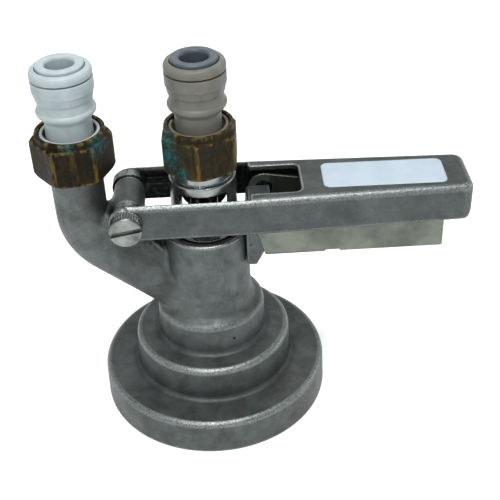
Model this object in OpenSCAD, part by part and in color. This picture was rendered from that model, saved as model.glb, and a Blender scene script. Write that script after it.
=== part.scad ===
// Keg coupler with a latching lever handle and two push-fit tube fittings.
// The origin is on the tower's axis, at the rim that stands on the keg; +Z is up and the handle points along +X.

/* [Bell and tower casting] */
// Radius of the base ring
base_r = 44; // [43:0.5:46]
// Height of the base ring
base_h = 14.2; // [14:0.1:16]
// Radius of the middle step
mid_r = 30.4; // [29.5:0.1:32]
// Height of the middle step above the base ring
mid_h = 14.2; // [13.5:0.1:16]
// Radius of the upper step
upper_r = 20.8; // [20.6:0.1:22]
// Height of the upper step above the middle one
upper_h = 13.1; // [12:0.1:15]
// Radius of the tower at its foot
tower_foot_r = 15.95; // [15.8:0.05:16.4]
// Radius of the tower at its rim
tower_rim_r = 15.5; // [15:0.1:15.8]
// Height of the tower above the upper step
tower_h = 33.3; // [33:0.1:34]
// Radius of the fillet between the tower and the upper step
tower_fillet = 4.8; // [3:0.1:4.8]
// Radius of the fillet at the foot of each step
foot_fillet = 2; // [1:0.25:2.5]
// Radius of the rounded top edge of each step
edge_round = 2.2; // [1:0.1:2.4]
// How far each side leans in over its height, for the mould
draft = 0.3; // [0.1:0.05:0.4]
// Wall thickness over the bell's two chambers
bell_wall = 4.5; // [4:0.1:5.5]
// Thickness of the skirt around the lower chamber
skirt_wall = 7; // [6:0.1:8]
// Clearance around a sliding shaft in its bore
running_gap = 0.05; // [0.03:0.01:0.08]

/* [Bayonet lugs] */
// How far the lugs stand in from the skirt
lug_reach = 4.5; // [3:0.1:5]
// Thickness of the lugs
lug_h = 3; // [2:0.1:4]
// Height of the lugs over the rim
lug_rise = 1; // [0.5:0.1:2]
// Angle that each lug spans
lug_span = 42; // [30:1:55]
// Number of lugs
lug_count = 3; // [2:1:3]

/* [Gas elbow] */
// Distance from the tower's axis to the elbow's upright end
elbow_reach = 44.7; // [44:0.1:46]
// Outer radius of the elbow
elbow_r = 9.4; // [9:0.1:10]
// Radius of the elbow's gas way
elbow_bore_r = 5; // [4:0.1:5.5]
// Radius of the elbow's bend, along its centre line
elbow_bend_r = 20; // [18:0.5:22]
// Slope of the elbow's lower leg below level
elbow_slope = 39; // [36:1:42]
// Height at which the elbow's centre line would meet the tower's axis
elbow_join_h = 37.6; // [36:0.1:39]
// Height of the left nut's lower face above the tower's rim
gas_nut_rise = 26.5; // [26:0.1:28]

/* [Pivot] */
// Distance from the tower's axis to the lever's pivot
pivot_reach = 27.5; // [27:0.1:28.5]
// Height of the pivot above the tower's rim
pivot_rise = 11.5; // [11:0.1:12.5]
// Radius of the cast boss that the pivot bolt runs through
boss_r = 5.6; // [5:0.1:5.8]
// Half the length of the boss
boss_half = 9; // [8:0.1:9]
// Radius of the pivot bolt's shank
bolt_r = 3.5; // [3:0.1:3.6]
// Radius of the pivot bolt's head
bolt_head_r = 5.7; // [5:0.1:6]
// Length of the pivot bolt's head
bolt_head_h = 5.6; // [4:0.1:7]
// Thickness of the cast web that carries the boss
web_t = 11; // [9:0.5:13]

/* [Lever handle] */
// Distance from the tower's axis to the handle's tip
lever_tip = 95; // [92:0.5:100]
// Half the width of the lever at the fork
fork_half = 14.2; // [14:0.1:14.6]
// Half the width of the lever at the tip
tip_half = 11.3; // [11.3:0.1:12]
// Height of the lever's top above the pivot
lever_over = 6.2; // [6:0.1:6.8]
// Depth of the lever's lower edge below the pivot
lever_under = 7.3; // [7:0.1:8]
// Thickness of the handle's roof
roof_t = 2; // [1.5:0.1:2.1]
// Thickness of the handle's side walls
side_t = 1.75; // [1.4:0.05:1.8]
// Thickness of the fork's arms along their upper edge
arm_top_t = 1.8; // [1.5:0.1:1.8]
// Radius of the driving lobe under each arm
lobe_r = 9; // [8.5:0.1:9.2]
// Radius of the eyes at the pivot
eye_r = 6.4; // [6:0.1:6.8]
// Distance from the tower's axis to the roof's open edge
pocket_end = 35; // [33:0.5:37]
// Half the width of the opening in the roof
pocket_half = 8.7; // [8:0.1:8.9]

/* [Trigger and latch] */
// Distance from the tower's rim to the trigger's hinge
hinge_gap = 6.8; // [6.6:0.1:7.4]
// Depth of the trigger's hinge below the pivot
hinge_drop = 2.3; // [2:0.1:2.6]
// Distance from the tower's axis to the trigger's free end
trigger_tip = 86.9; // [84:0.1:88]
// Half the width of the trigger over its cheeks
trigger_half = 9.4; // [9:0.1:9.4]
// Thickness of the trigger's sheet
sheet_t = 1.2; // [0.9:0.1:1.3]
// Depth of the trigger's web below its hinge
trigger_depth = 18.6; // [17.5:0.1:20]
// Radius of the trigger's lobes around its hinge
trigger_lobe_r = 6; // [5.5:0.1:6]
// Radius of the hinge stubs inside the lever
stub_r = 3.1; // [2.5:0.05:3.3]
// Depth of the latch block's foot below the hinge
latch_depth = 23.2; // [22.5:0.1:24]
// Turns of the latch spring
spring_turns = 8; // [6:1:9]
// Radius of the latch spring's wire
spring_wire_r = 0.5; // [0.35:0.05:0.6]
// Radius of the latch spring, to the middle of its wire
spring_r = 4; // [3.4:0.1:4.4]

/* [Sliding probe] */
// Radius of the windowed sleeve
sleeve_r = 12.07; // [11.9:0.01:12.1]
// Half the width of the sleeve's windows
window_half = 8.3; // [8:0.1:8.4]
// Gap between the lobes and the foot of the windows
lobe_gap = 0.4; // [0.3:0.05:0.6]
// Height of the windows' head above the lever's top
window_over = 1.1; // [1:0.1:2]
// Height of the ring over the windows
ring_h = 3.7; // [3:0.1:4.5]
// Height of the neck between the ring and the nut
neck_h = 4; // [3.5:0.1:5]
// Radius of the core between the windows
core_r = 5; // [4.8:0.1:5.6]
// Radius of the beer way
beer_way_r = 3.5; // [3:0.1:3.8]
// Radius of the probe tube
tube_r = 6.2; // [5.9:0.1:6.4]
// Height of the probe's tip above the bell's rim, with the lever down
tip_rise = 2; // [1:0.1:4]
// Radius of the probe's nose
nose_r = 8; // [7.6:0.1:8.2]
// Radius of the throat that the probe runs through
throat_r = 9; // [8.8:0.1:9.6]

/* [Nuts] */
// Width of the nuts across their flats
nut_flats = 25.4; // [25:0.1:27]
// Height of the nuts' hexagon
nut_h = 13.8; // [13:0.1:15]
// Radius of the collar on top of the nuts
collar_r = 12.3; // [12.1:0.1:12.6]
// Height of the collar
collar_h = 2.5; // [2:0.1:3]
// Outer radius of the pipe thread in the nuts
thread_r = 11.2; // [11:0.05:11.3]
// Turn of the middle nut's corners about its axis
beer_nut_turn = 26.6; // [0:0.1:60]
// Turn of the left nut's corners about its axis
gas_nut_turn = 8; // [0:0.1:60]

/* [Tube fittings] */
// Radius of the tube bore, for a 3/8 inch tube
tube_bore_r = 4.9; // [4.8:0.05:5]
// Radius of the fitting's neck
neck_r = 8.2; // [8:0.1:8.3]
// Radius of the fitting's bead
bead_r = 10.45; // [10:0.05:10.8]
// Radius of the fitting's body and of its cap
body_r = 10.65; // [10.3:0.05:11]
// Radius of the collet's ring
collet_r = 8.2; // [7.8:0.1:8.3]
// How far the collet can be pressed in
collet_travel = 1.1; // [0.8:0.1:1.3]

/* [Hidden] */
$fn = 64;

// One overrun serves every cut, and one small gap parts pieces that are fixed to each other
over = 1;
joint_gap = 0.05;
// The gap that moving pieces keep where nothing guides them
free_gap = 0.35;
// Segments in a rounded edge of a turned profile
round_steps = 5;

// Heights of the casting's ledges
mid_z = base_h;
upper_z = mid_z + mid_h;
tower_z = upper_z + upper_h;
rim_z = tower_z + tower_h;
base_top_r = base_r - draft;
mid_top_r = mid_r - draft;
upper_top_r = upper_r - draft;
rim_round = 0.9;
lip_bevel = 0.6;

// Chambers of the bell
skirt_r = base_r - skirt_wall;
skirt_z = base_h - bell_wall;
chamber_r = mid_r - bell_wall - edge_round / 2;
chamber_z = upper_z - bell_wall;
slide_r = sleeve_r + running_gap;
// Height of the ledge where the throat widens to the sleeve's bore
slide_share = 0.6;
slide_z = upper_z + upper_h * slide_share;
mouth_bevel = 1;

// Seal that the keg's neck presses against
seal_h = 3.4;
seal_lip = 0.8;
seal_bore_r = throat_r + seal_lip / 2;

// Elbow's bend and its lower leg, in the plane of the handle
elbow_turn = 90 - elbow_slope;
leg_x = -(elbow_reach - elbow_bend_r * (1 - cos(elbow_turn)));
leg_z = elbow_join_h - leg_x * tan(elbow_slope);
bend_z = leg_z + elbow_bend_r * sin(elbow_turn);
leg_length = -leg_x / cos(elbow_slope);

// Pivot
pivot_x = -pivot_reach;
pivot_z = rim_z + pivot_rise;
bolt_bore_r = bolt_r + running_gap;
web_shares = [0.18, 0.25, 0.3];
boss_bevel = 0.7;
slot_w = 1.3;
slot_depth = 1.4;
slot_turn = 10;
head_bevel = 0.5;
knurl_count = 40;
knurl_r = 0.3;

// Lever
hinge_x = tower_rim_r + hinge_gap;
lever_top_z = pivot_z + lever_over;
lever_low_z = pivot_z - lever_under;
roof_z = lever_top_z - roof_t;
taper_x = hinge_x - eye_r + joint_gap;
lobe_drop = 1.6;
lobe_z = pivot_z - lobe_drop;
lobe_x = 0;
// Inner face of the arms, beside the sleeve's legs
arm_in = sqrt(sleeve_r * sleeve_r - window_half * window_half) + free_gap;
arm_ledge_share = 0.27;
arm_ledge_z = pivot_z + lever_over * arm_ledge_share;
arm_top_in = fork_half - arm_top_t;
// Where the arms' thick part ends, short of the trigger's lobes
arm_short = 3.8;
arm_end_x = hinge_x - trigger_lobe_r - arm_short;
tip_wall = 2.3;
tip_corner_r = 4;
tip_low_r = 3;
top_bevel = 1.5;
pocket_corner_r = 2.5;
pocket_lead = 2;
stub_end = trigger_half - sheet_t + free_gap;
taper_angle = atan2(tip_half - fork_half, lever_tip - taper_x);

// Trigger and latch
hinge_z = pivot_z - hinge_drop;
cheek_in = trigger_half - sheet_t;
web_z = hinge_z - trigger_depth;
stub_bore_r = stub_r + running_gap;
bend_bevel = 1;
tip_bevel = 0.6;
trigger_corner_r = 3;
cheek_top_share = 0.45;
cheek_back_shares = [0.62, 0.55];
notch_x = 46.3;
notch_w = 4.8;
notch_h = 1.3;
notch_slope = 1;
notch_in = 5.4;
latch_half = cheek_in - joint_gap;
latch_inset = 0.9;
latch_face_x = tower_rim_r - latch_inset;
latch_back = 2;
latch_back_x = hinge_x + latch_back;
latch_foot_back = 4;
latch_rise = 1.5;
latch_top_z = hinge_z + latch_rise;
latch_hollow_r = max(tower_foot_r, tower_rim_r) + free_gap;
latch_foot_z = hinge_z - latch_depth;
latch_knee_z = web_z + sheet_t + joint_gap;
latch_top_bevel = 0.8;
rivet_r = 1.5;
rivet_head_r = 2.4;
rivet_head_h = 0.7;
rivet_back = 2.1;
rivet_drop = 5.4;
rivet_x = hinge_x - rivet_back;
rivet_z = hinge_z - rivet_drop;

// Catch nose on the tower, and the hook in the latch block that closes under it
nose_half = 4;
nose_reach = 2.7;
catch_reach = tower_rim_r + nose_reach;
catch_drop = 16;
catch_ramp_h = 6;
catch_corner_z = hinge_z - catch_drop;
catch_low_z = catch_corner_z - catch_ramp_h;
catch_flat = 2.5;
catch_top = 3;
hook_gap = 0.4;

// Spring
spring_x = notch_x;
spring_low_z = web_z + sheet_t + joint_gap;
spring_high_z = roof_z - joint_gap;
spring_sides = 6;
spring_rings = 8;
spring_dome_r = spring_r - spring_wire_r - free_gap;
spring_dome_h = 1.5;
spring_flat_share = 0.6;

// Sleeve
window_low_z = lobe_z - lobe_r - lobe_gap;
window_high_z = lever_top_z + window_over;
ring_top_z = window_high_z + ring_h;
beer_nut_z = ring_top_z + neck_h;
gas_nut_z = rim_z + gas_nut_rise;
piston_h = 18.3;
sleeve_foot_z = window_low_z - piston_h;
thread_depth = 0.6;
sleeve_neck_r = thread_r - thread_depth;
ring_bevel = 0.7;
groove_w = 1.8;
groove_rise = 1.8;
groove_pitch = 2.9;
oring_r = 0.8;
// The rings stand out of their grooves by half the running gap
groove_depth = 2 * oring_r - running_gap / 2 + joint_gap;
socket_depth = 9;
socket_z = sleeve_foot_z + socket_depth;
nose_h = 7;
tip_top_z = tip_rise + nose_h;
probe_seal_h = 3.8;
probe_seal_proud = 0.4;
probe_seal_r = nose_r + probe_seal_proud;
nose_taper = 2.6;
nose_end_r = nose_r - nose_taper;
spigot_step = 1;
spigot_r = tube_r - spigot_step;
spigot_h = 4;

// Levels of a nut and a fitting, measured from the nut's lower face
stem_short = 3.5;
stem_top = nut_h - stem_short;
washer_h = 1.2;
flange_low = stem_top + washer_h + joint_gap;
flange_h = 2;
flange_step = 0.3;
flange_r = thread_r - flange_step;
lip_z = flange_low + flange_h + joint_gap;
lip_h = 1.2;
clip_z = lip_z + lip_h + joint_gap;
clip_h = 1;
clip_w = 1.5;
clip_gap_angle = 60;
nut_bore_r = thread_r + joint_gap;
nut_bevel = 1.1;
collar_wall = 1.5;
collar_in = collar_r - collar_wall;
bead_rise = 8.5;
bead_z = nut_h + bead_rise;
bead_h = 3.2;
waist_rise = 2.4;
waist_z = bead_z + bead_h + waist_rise;
waist_step = 1.15;
waist_r = body_r - waist_step;
waist_h = 0.9;
shoulder_z = waist_z + waist_h;
shoulder_step = 0.7;
shoulder_r = body_r - shoulder_step;
belly_rise = 2.6;
belly_z = shoulder_z + belly_rise;
body_h = 7.2;
body_top = shoulder_z + body_h;
cap_gap = 0.6;
cap_h = 3.2;
cap_round = 1.6;
cap_spigot_h = 4;
socket_wall = 1.9;
cap_spigot_r = body_r - socket_wall;
grip_room = 1.9;
cap_bore_r = tube_bore_r + grip_room;
recess_spare = 1;
recess_h = collet_travel + recess_spare;
collet_gap = 0.25;
recess_r = collet_r + collet_gap;
collet_ring_h = 1.7;
collet_lift = collet_travel + free_gap;
collet_stem_h = 5.2;
collet_stem_r = cap_bore_r - free_gap;
collet_mouth = 0.3;
cartridge_room = 3.4;
cartridge_h = cap_spigot_h + cartridge_room;
oring_seat_h = 2.2;
tube_oring_r = 1.05;
tube_depth = 17;
way_step = 1.4;
way_r = tube_bore_r - way_step;

// Gas non-return valve in the elbow's upright end
valve_seat_h = 1.2;
valve_seat_r = 8.2;
valve_r = 4.7;
valve_wall = 1;
valve_body_h = 3.4;
valve_bill_h = 4;
valve_bill_t = 0.7;
valve_slit_share = 0.8;
valve_room_r = 6;

// Points along an arc about (cx, cy), from angle a to angle b
function arc(cx, cy, r, a, b, n = round_steps) =
    [for (i = [0:n]) [cx + r * cos(a + (b - a) * i / n), cy + r * sin(a + (b - a) * i / n)]];

// A cylinder along Y, from y0 to y1, centred on x and z
module cross_pin(x, z, r, y0, y1) {
    translate([x, y1, z])
        rotate([90, 0, 0])
            cylinder(r = r, h = y1 - y0);
}

// A side outline in X and Z, extruded from y0 to y1
module side_plate(y0, y1) {
    translate([0, y1, 0])
        rotate([90, 0, 0])
            linear_extrude(height = y1 - y0)
                children();
}

// A turned ring with a rectangular section
module ring(z, h, r_out, r_in) {
    translate([0, 0, z])
        rotate_extrude()
            translate([r_in, 0])
                square([r_out - r_in, h]);
}

// Outer form of the stepped bell and the tower
module bell_outside() {
    rotate_extrude()
        polygon(concat(
            [[0, 0], [base_r - rim_round, 0], [base_r, rim_round]],
            arc(base_top_r - edge_round, mid_z - edge_round, edge_round, 0, 90),
            arc(mid_r + foot_fillet, mid_z + foot_fillet, foot_fillet, 270, 180),
            arc(mid_top_r - edge_round, upper_z - edge_round, edge_round, 0, 90),
            arc(upper_r + foot_fillet, upper_z + foot_fillet, foot_fillet, 270, 180),
            arc(upper_top_r - edge_round, tower_z - edge_round, edge_round, 0, 75),
            arc(tower_foot_r + tower_fillet, tower_z + tower_fillet, tower_fillet, 255, 180),
            arc(tower_rim_r - rim_round, rim_z - rim_round, rim_round, 0, 90),
            [[0, rim_z]]
        ));
}

// Chambers for the keg's neck, the throat and the sleeve's bore
module bell_inside() {
    rotate_extrude()
        polygon([
            [0, -over], [skirt_r + mouth_bevel, -over], [skirt_r + mouth_bevel, 0], [skirt_r, mouth_bevel],
            [skirt_r, skirt_z - edge_round], [skirt_r - edge_round, skirt_z], [chamber_r, skirt_z],
            [chamber_r, chamber_z], [throat_r, chamber_z], [throat_r, slide_z - mouth_bevel],
            [slide_r, slide_z + slide_r - throat_r - mouth_bevel], [slide_r, rim_z - lip_bevel],
            [slide_r + lip_bevel, rim_z], [slide_r + lip_bevel, rim_z + over], [0, rim_z + over]
        ]);
}

// A round rod or bore along the elbow's centre line, up to the height top_z
module elbow_path(r, top_z, length) {
    translate([-elbow_reach, 0, bend_z])
        cylinder(r = r, h = top_z - bend_z);
    translate([elbow_bend_r - elbow_reach, 0, bend_z])
        rotate([90, 0, 0])
            rotate([0, 0, 180])
                rotate_extrude(angle = elbow_turn)
                    translate([elbow_bend_r, 0])
                        circle(r = r);
    translate([leg_x, 0, leg_z])
        rotate([0, 90 + elbow_slope, 0])
            cylinder(r = r, h = length);
}

// Web that carries the pivot boss on the elbow and the tower
module pivot_web() {
    side_plate(-web_t / 2, web_t / 2)
        polygon([
            [pivot_x - boss_r, pivot_z], [pivot_x + boss_r, pivot_z], [pivot_x + boss_r, rim_z + mouth_bevel],
            [pivot_x + 2 * boss_r, rim_z - tower_h * web_shares[0]], [-tower_rim_r + over, rim_z - tower_h * web_shares[1]],
            [-tower_rim_r + over, tower_z + tower_h * web_shares[2]], [leg_x, leg_z],
            [leg_x - elbow_r / 2, bend_z - elbow_r], [pivot_x - boss_r - elbow_r / 3, bend_z]
        ]);
}

module pivot_boss() {
    cross_pin(pivot_x, pivot_z, boss_r, -boss_half + boss_bevel, boss_half - boss_bevel);
    for (side = [-1, 1])
        translate([pivot_x, side * (boss_half - boss_bevel), pivot_z])
            rotate([-90 * side, 0, 0])
                cylinder(r1 = boss_r, r2 = boss_r - boss_bevel, h = boss_bevel);
}

// Nose on the tower that the latch block hooks under, its lower face as steep as the hook's way out
module catch_nose() {
    side_plate(-nose_half, nose_half)
        polygon([
            [tower_rim_r - over, catch_low_z], [tower_foot_r - joint_gap, catch_low_z],
            [catch_reach, catch_corner_z], [catch_reach, catch_corner_z + catch_flat],
            [tower_rim_r - over, catch_corner_z + catch_flat + catch_top]
        ]);
}

module bayonet_lugs() {
    for (i = [0:lug_count - 1])
        rotate([0, 0, i * 360 / lug_count - lug_span / 2 - 90])
            rotate_extrude(angle = lug_span)
                polygon([
                    [skirt_r - lug_reach, lug_rise + lug_h], [skirt_r - lug_reach, lug_rise + lug_h / 3],
                    [skirt_r - lug_reach + lug_h / 3, lug_rise], [skirt_r + over, lug_rise],
                    [skirt_r + over, lug_rise + lug_h]
                ]);
}

module coupler_body() {
    color([0.62, 0.63, 0.62]) {
        difference() {
            union() {
                bell_outside();
                elbow_path(elbow_r, gas_nut_z - joint_gap, leg_length);
                translate([-elbow_reach, 0, gas_nut_z - joint_gap])
                    cylinder(r = thread_r, h = stem_top + joint_gap);
                pivot_web();
                pivot_boss();
                catch_nose();
            }
            bell_inside();
            elbow_path(elbow_bore_r, gas_nut_z, leg_length - throat_r / cos(elbow_slope));
            translate([-elbow_reach, 0, gas_nut_z - joint_gap])
                cylinder(r = valve_room_r, h = stem_top + over);
            translate([-elbow_reach, 0, gas_nut_z + stem_top - valve_seat_h])
                cylinder(r = valve_seat_r, h = valve_seat_h + over);
            cross_pin(pivot_x, pivot_z, bolt_bore_r, -boss_half - over, boss_half + over);
        }
        bayonet_lugs();
    }
}

// Rubber ring that seals on the keg's neck, with a raised lip
module keg_seal() {
    color([0.12, 0.12, 0.12])
        rotate_extrude()
            polygon([
                [seal_bore_r, chamber_z - joint_gap], [seal_bore_r, chamber_z - seal_h],
                [seal_bore_r + seal_lip, chamber_z - seal_h - seal_lip],
                [seal_bore_r + 3 * seal_lip, chamber_z - seal_h], [chamber_r - 3 * seal_lip, chamber_z - seal_h],
                [chamber_r - joint_gap, chamber_z - seal_h + seal_lip], [chamber_r - joint_gap, chamber_z - joint_gap]
            ]);
}

// Duckbill valve: a flange, a short tube and a bill that closes to a slit
module gas_check_valve() {
    flange_z = gas_nut_z + stem_top - valve_seat_h;
    body_z = flange_z - valve_body_h;
    color([0.1, 0.1, 0.1])
        translate([-elbow_reach, 0, 0]) {
            ring(flange_z + joint_gap, valve_seat_h - 2 * joint_gap, valve_seat_r - joint_gap, valve_r - valve_wall);
            ring(body_z, valve_body_h + joint_gap, valve_r, valve_r - valve_wall);
            difference() {
                intersection() {
                    translate([0, 0, body_z - valve_bill_h])
                        cylinder(r = valve_r, h = valve_bill_h);
                    side_plate(-valve_r, valve_r)
                        polygon([
                            [-valve_r, body_z], [valve_r, body_z], [valve_bill_t, body_z - valve_bill_h],
                            [-valve_bill_t, body_z - valve_bill_h]
                        ]);
                }
                side_plate(-valve_r + valve_wall, valve_r - valve_wall)
                    polygon([
                        [-valve_r + valve_wall, body_z + joint_gap], [valve_r - valve_wall, body_z + joint_gap],
                        [0, body_z - valve_bill_h * valve_slit_share]
                    ]);
            }
        }
}

// Union nut with a round collar, its lip over the fitting's flange
module union_nut(turn) {
    color([0.36, 0.3, 0.16])
        difference() {
            union() {
                intersection() {
                    rotate([0, 0, turn])
                        cylinder(r = nut_flats / sqrt(3), h = nut_h, $fn = 6);
                    rotate_extrude()
                        polygon([
                            [0, 0], [nut_flats / 2 + nut_bevel / 3, 0], [nut_flats / sqrt(3), nut_bevel / 2],
                            [nut_flats / sqrt(3), nut_h - nut_bevel], [nut_flats / 2, nut_h], [0, nut_h]
                        ]);
                }
                cylinder(r = collar_r, h = nut_h + collar_h - rim_round / 2);
                translate([0, 0, nut_h + collar_h - rim_round / 2])
                    cylinder(r1 = collar_r, r2 = collar_r - rim_round / 2, h = rim_round / 2);
            }
            translate([0, 0, -over])
                cylinder(r = nut_bore_r, h = lip_z + over);
            cylinder(r = neck_r + free_gap, h = nut_h + collar_h);
            translate([0, 0, lip_z + lip_h])
                cylinder(r = collar_in, h = nut_h + collar_h);
        }
}

module flat_washer() {
    ring(stem_top + joint_gap / 2, washer_h, flange_r, way_r + 1);
}

// Body of a push-fit fitting: flange, neck, bead, waist and socket
module fitting_body() {
    bead_top = bead_z + bead_h;
    rotate_extrude()
        polygon(concat(
            [[way_r, flange_low], [flange_r, flange_low], [flange_r, flange_low + flange_h],
             [neck_r + joint_gap * 3, flange_low + flange_h], [neck_r, clip_z + clip_h + clip_w],
             [neck_r - joint_gap * 3, bead_z - clip_w]],
            arc(bead_r - bead_h / 2, bead_z + bead_h / 2, bead_h / 2, -80, 60),
            [[waist_r, waist_z], [waist_r, waist_z + (shoulder_z - waist_z) / 2], [shoulder_r, shoulder_z],
             [body_r - draft, belly_z - draft], [body_r, belly_z + draft], [body_r, body_top],
             [cap_spigot_r + joint_gap, body_top], [cap_spigot_r + joint_gap, body_top - cartridge_h],
             [tube_bore_r + 2 * tube_oring_r + joint_gap, body_top - cartridge_h],
             [tube_bore_r + 2 * tube_oring_r + joint_gap, body_top - cartridge_h - oring_seat_h],
             [tube_bore_r, body_top - cartridge_h - oring_seat_h], [tube_bore_r, body_top - tube_depth],
             [way_r, body_top - tube_depth]]
        ));
}

module open_clip(turn) {
    rotate([0, 0, turn])
        rotate_extrude(angle = 360 - clip_gap_angle)
            translate([neck_r + joint_gap * 4, clip_z])
                square([clip_w, clip_h]);
}

module tube_seal() {
    translate([0, 0, body_top - cartridge_h - oring_seat_h / 2])
        rotate_extrude()
            translate([tube_bore_r + tube_oring_r, 0])
                circle(r = tube_oring_r, $fn = 24);
}

// Cap that holds the collet, with a spigot inside the body
module fitting_cap() {
    low = body_top + cap_gap;
    high = low + cap_h;
    rotate_extrude()
        polygon(concat(
            [[cap_bore_r, body_top - cap_spigot_h], [cap_spigot_r, body_top - cap_spigot_h],
             [cap_spigot_r, low], [body_r, low]],
            arc(body_r - cap_round, high - cap_round, cap_round, 0, 90),
            [[recess_r, high], [recess_r, high - recess_h], [cap_bore_r, high - recess_h]]
        ));
}

// Collet: a ring to press on and a stem that grips the tube
module fitting_collet() {
    low = body_top + cap_gap + cap_h - recess_h + collet_lift;
    high = low + collet_ring_h;
    rotate_extrude()
        polygon([
            [tube_bore_r, low - collet_stem_h], [collet_stem_r, low - collet_stem_h], [collet_stem_r, low],
            [collet_r, low], [collet_r, high - collet_mouth], [collet_r - collet_mouth, high],
            [tube_bore_r + 2 * collet_mouth, high], [tube_bore_r + collet_mouth, high - collet_mouth],
            [tube_bore_r, high - 3 * collet_mouth]
        ]);
}

module at_gas() {
    translate([-elbow_reach, 0, gas_nut_z])
        children();
}

module at_beer() {
    translate([0, 0, beer_nut_z])
        children();
}

module gas_washer() { color([0.15, 0.15, 0.15]) at_gas() flat_washer(); }
module gas_nut() { at_gas() union_nut(gas_nut_turn); }
module gas_fitting() { color([0.86, 0.89, 0.9]) at_gas() fitting_body(); }
module gas_clip() { color([0.8, 0.83, 0.84]) at_gas() open_clip(120); }
module gas_tube_seal() { color([0.1, 0.1, 0.1]) at_gas() tube_seal(); }
module gas_cap() { color([0.86, 0.89, 0.9]) at_gas() fitting_cap(); }
module gas_collet() { color([0.86, 0.89, 0.9]) at_gas() fitting_collet(); }
module beer_washer() { color([0.15, 0.15, 0.15]) at_beer() flat_washer(); }
module beer_nut() { at_beer() union_nut(beer_nut_turn); }
module beer_fitting() { color([0.59, 0.58, 0.55]) at_beer() fitting_body(); }
module beer_clip() { color([0.62, 0.61, 0.58]) at_beer() open_clip(160); }
module beer_tube_seal() { color([0.1, 0.1, 0.1]) at_beer() tube_seal(); }
module beer_cap() { color([0.59, 0.58, 0.55]) at_beer() fitting_cap(); }
module beer_collet() { color([0.39, 0.43, 0.45]) at_beer() fitting_collet(); }

// Windowed sleeve: a piston in the tower, a ring over the lever and the threaded stem for the nut
module probe_sleeve() {
    low = sleeve_foot_z;
    groove = sleeve_r - groove_depth;
    color([0.66, 0.67, 0.67])
        difference() {
            rotate_extrude()
                polygon([
                    [beer_way_r, low], [sleeve_r - ring_bevel, low], [sleeve_r, low + ring_bevel],
                    [sleeve_r, low + groove_rise], [groove, low + groove_rise],
                    [groove, low + groove_rise + groove_w], [sleeve_r, low + groove_rise + groove_w],
                    [sleeve_r, low + groove_rise + groove_pitch], [groove, low + groove_rise + groove_pitch],
                    [groove, low + groove_rise + groove_pitch + groove_w],
                    [sleeve_r, low + groove_rise + groove_pitch + groove_w],
                    [sleeve_r, ring_top_z - ring_bevel], [sleeve_r - ring_bevel, ring_top_z],
                    [sleeve_neck_r, ring_top_z], [sleeve_neck_r, beer_nut_z], [thread_r, beer_nut_z + ring_bevel],
                    [thread_r, beer_nut_z + stem_top - ring_bevel], [sleeve_neck_r, beer_nut_z + stem_top],
                    [beer_way_r, beer_nut_z + stem_top]
                ]);
            difference() {
                translate([-window_half, -sleeve_r - over, window_low_z])
                    cube([2 * window_half, 2 * (sleeve_r + over), window_high_z - window_low_z]);
                translate([0, 0, window_low_z - over])
                    cylinder(r = core_r, h = window_high_z - window_low_z + 2 * over);
            }
            translate([0, 0, low - over])
                cylinder(r = tube_r + joint_gap, h = socket_z - low + over);
        }
}

module sleeve_orings() {
    color([0.08, 0.08, 0.08])
        for (i = [0, 1])
            translate([0, 0, sleeve_foot_z + groove_rise + groove_w / 2 + i * groove_pitch])
                rotate_extrude()
                    translate([sleeve_r + running_gap / 2 - oring_r, 0])
                        circle(r = oring_r, $fn = 24);
}

module probe_tube() {
    color([0.7, 0.71, 0.71])
        difference() {
            translate([0, 0, tip_top_z])
                cylinder(r = tube_r, h = socket_z - tip_top_z - joint_gap);
            translate([0, 0, tip_top_z - over])
                cylinder(r = beer_way_r, h = socket_z - tip_top_z + 2 * over);
            translate([0, 0, tip_top_z - over])
                cylinder(r = spigot_r + joint_gap, h = spigot_h + over + joint_gap);
        }
}

// Rubber ring behind the nose, which seals on the keg's valve
module probe_seal() {
    low = tip_top_z + joint_gap;
    color([0.1, 0.1, 0.1])
        rotate_extrude()
            polygon([
                [tube_r + joint_gap, low], [probe_seal_r - seal_lip, low], [probe_seal_r, low + seal_lip],
                [probe_seal_r, low + probe_seal_h - seal_lip], [probe_seal_r - seal_lip, low + probe_seal_h],
                [tube_r + joint_gap, low + probe_seal_h]
            ]);
}

// Nose that opens the keg's valve: a cone with a spigot inside the tube and three ports for the beer
module probe_tip() {
    color([0.66, 0.67, 0.67])
        difference() {
            rotate_extrude()
                polygon([
                    [0, tip_rise], [nose_end_r - seal_lip, tip_rise], [nose_end_r, tip_rise + seal_lip],
                    [nose_r, tip_top_z - 3 * seal_lip], [nose_r, tip_top_z - seal_lip], [nose_r - seal_lip, tip_top_z],
                    [tube_r, tip_top_z], [tube_r, tip_top_z - joint_gap], [spigot_r, tip_top_z - joint_gap],
                    [spigot_r, tip_top_z + spigot_h], [beer_way_r, tip_top_z + spigot_h],
                    [beer_way_r, tip_rise + 2 * seal_lip], [0, tip_rise + 2 * seal_lip]
                ]);
            for (i = [0:2])
                rotate([0, 0, i * 120])
                    translate([0, 0, (tip_rise + tip_top_z) / 2 + seal_lip / 2])
                        rotate([90, 0, 0])
                            cylinder(r = beer_way_r / 2, h = nose_r + over);
        }
}

// Half-width of the lever's outer side at x, less an inset
function lever_half(x, inset = 0) =
    (x < taper_x ? fork_half : fork_half + (tip_half - fork_half) * (x - taper_x) / (lever_tip - taper_x)) - inset;

// Lever seen from above, drawn in by an inset
module lever_plan(start, inset) {
    end = lever_tip - (inset > 0 ? tip_wall : 0);
    corner = tip_corner_r - inset;
    half_end = lever_half(end - corner, inset) - corner;
    polygon(concat(
        [[start, -lever_half(start, inset)], [taper_x, -lever_half(taper_x, inset)]],
        arc(end - corner, -half_end, corner, -90, 0),
        arc(end - corner, half_end, corner, 0, 90),
        [[taper_x, lever_half(taper_x, inset)], [start, lever_half(start, inset)]]
    ));
}

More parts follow.
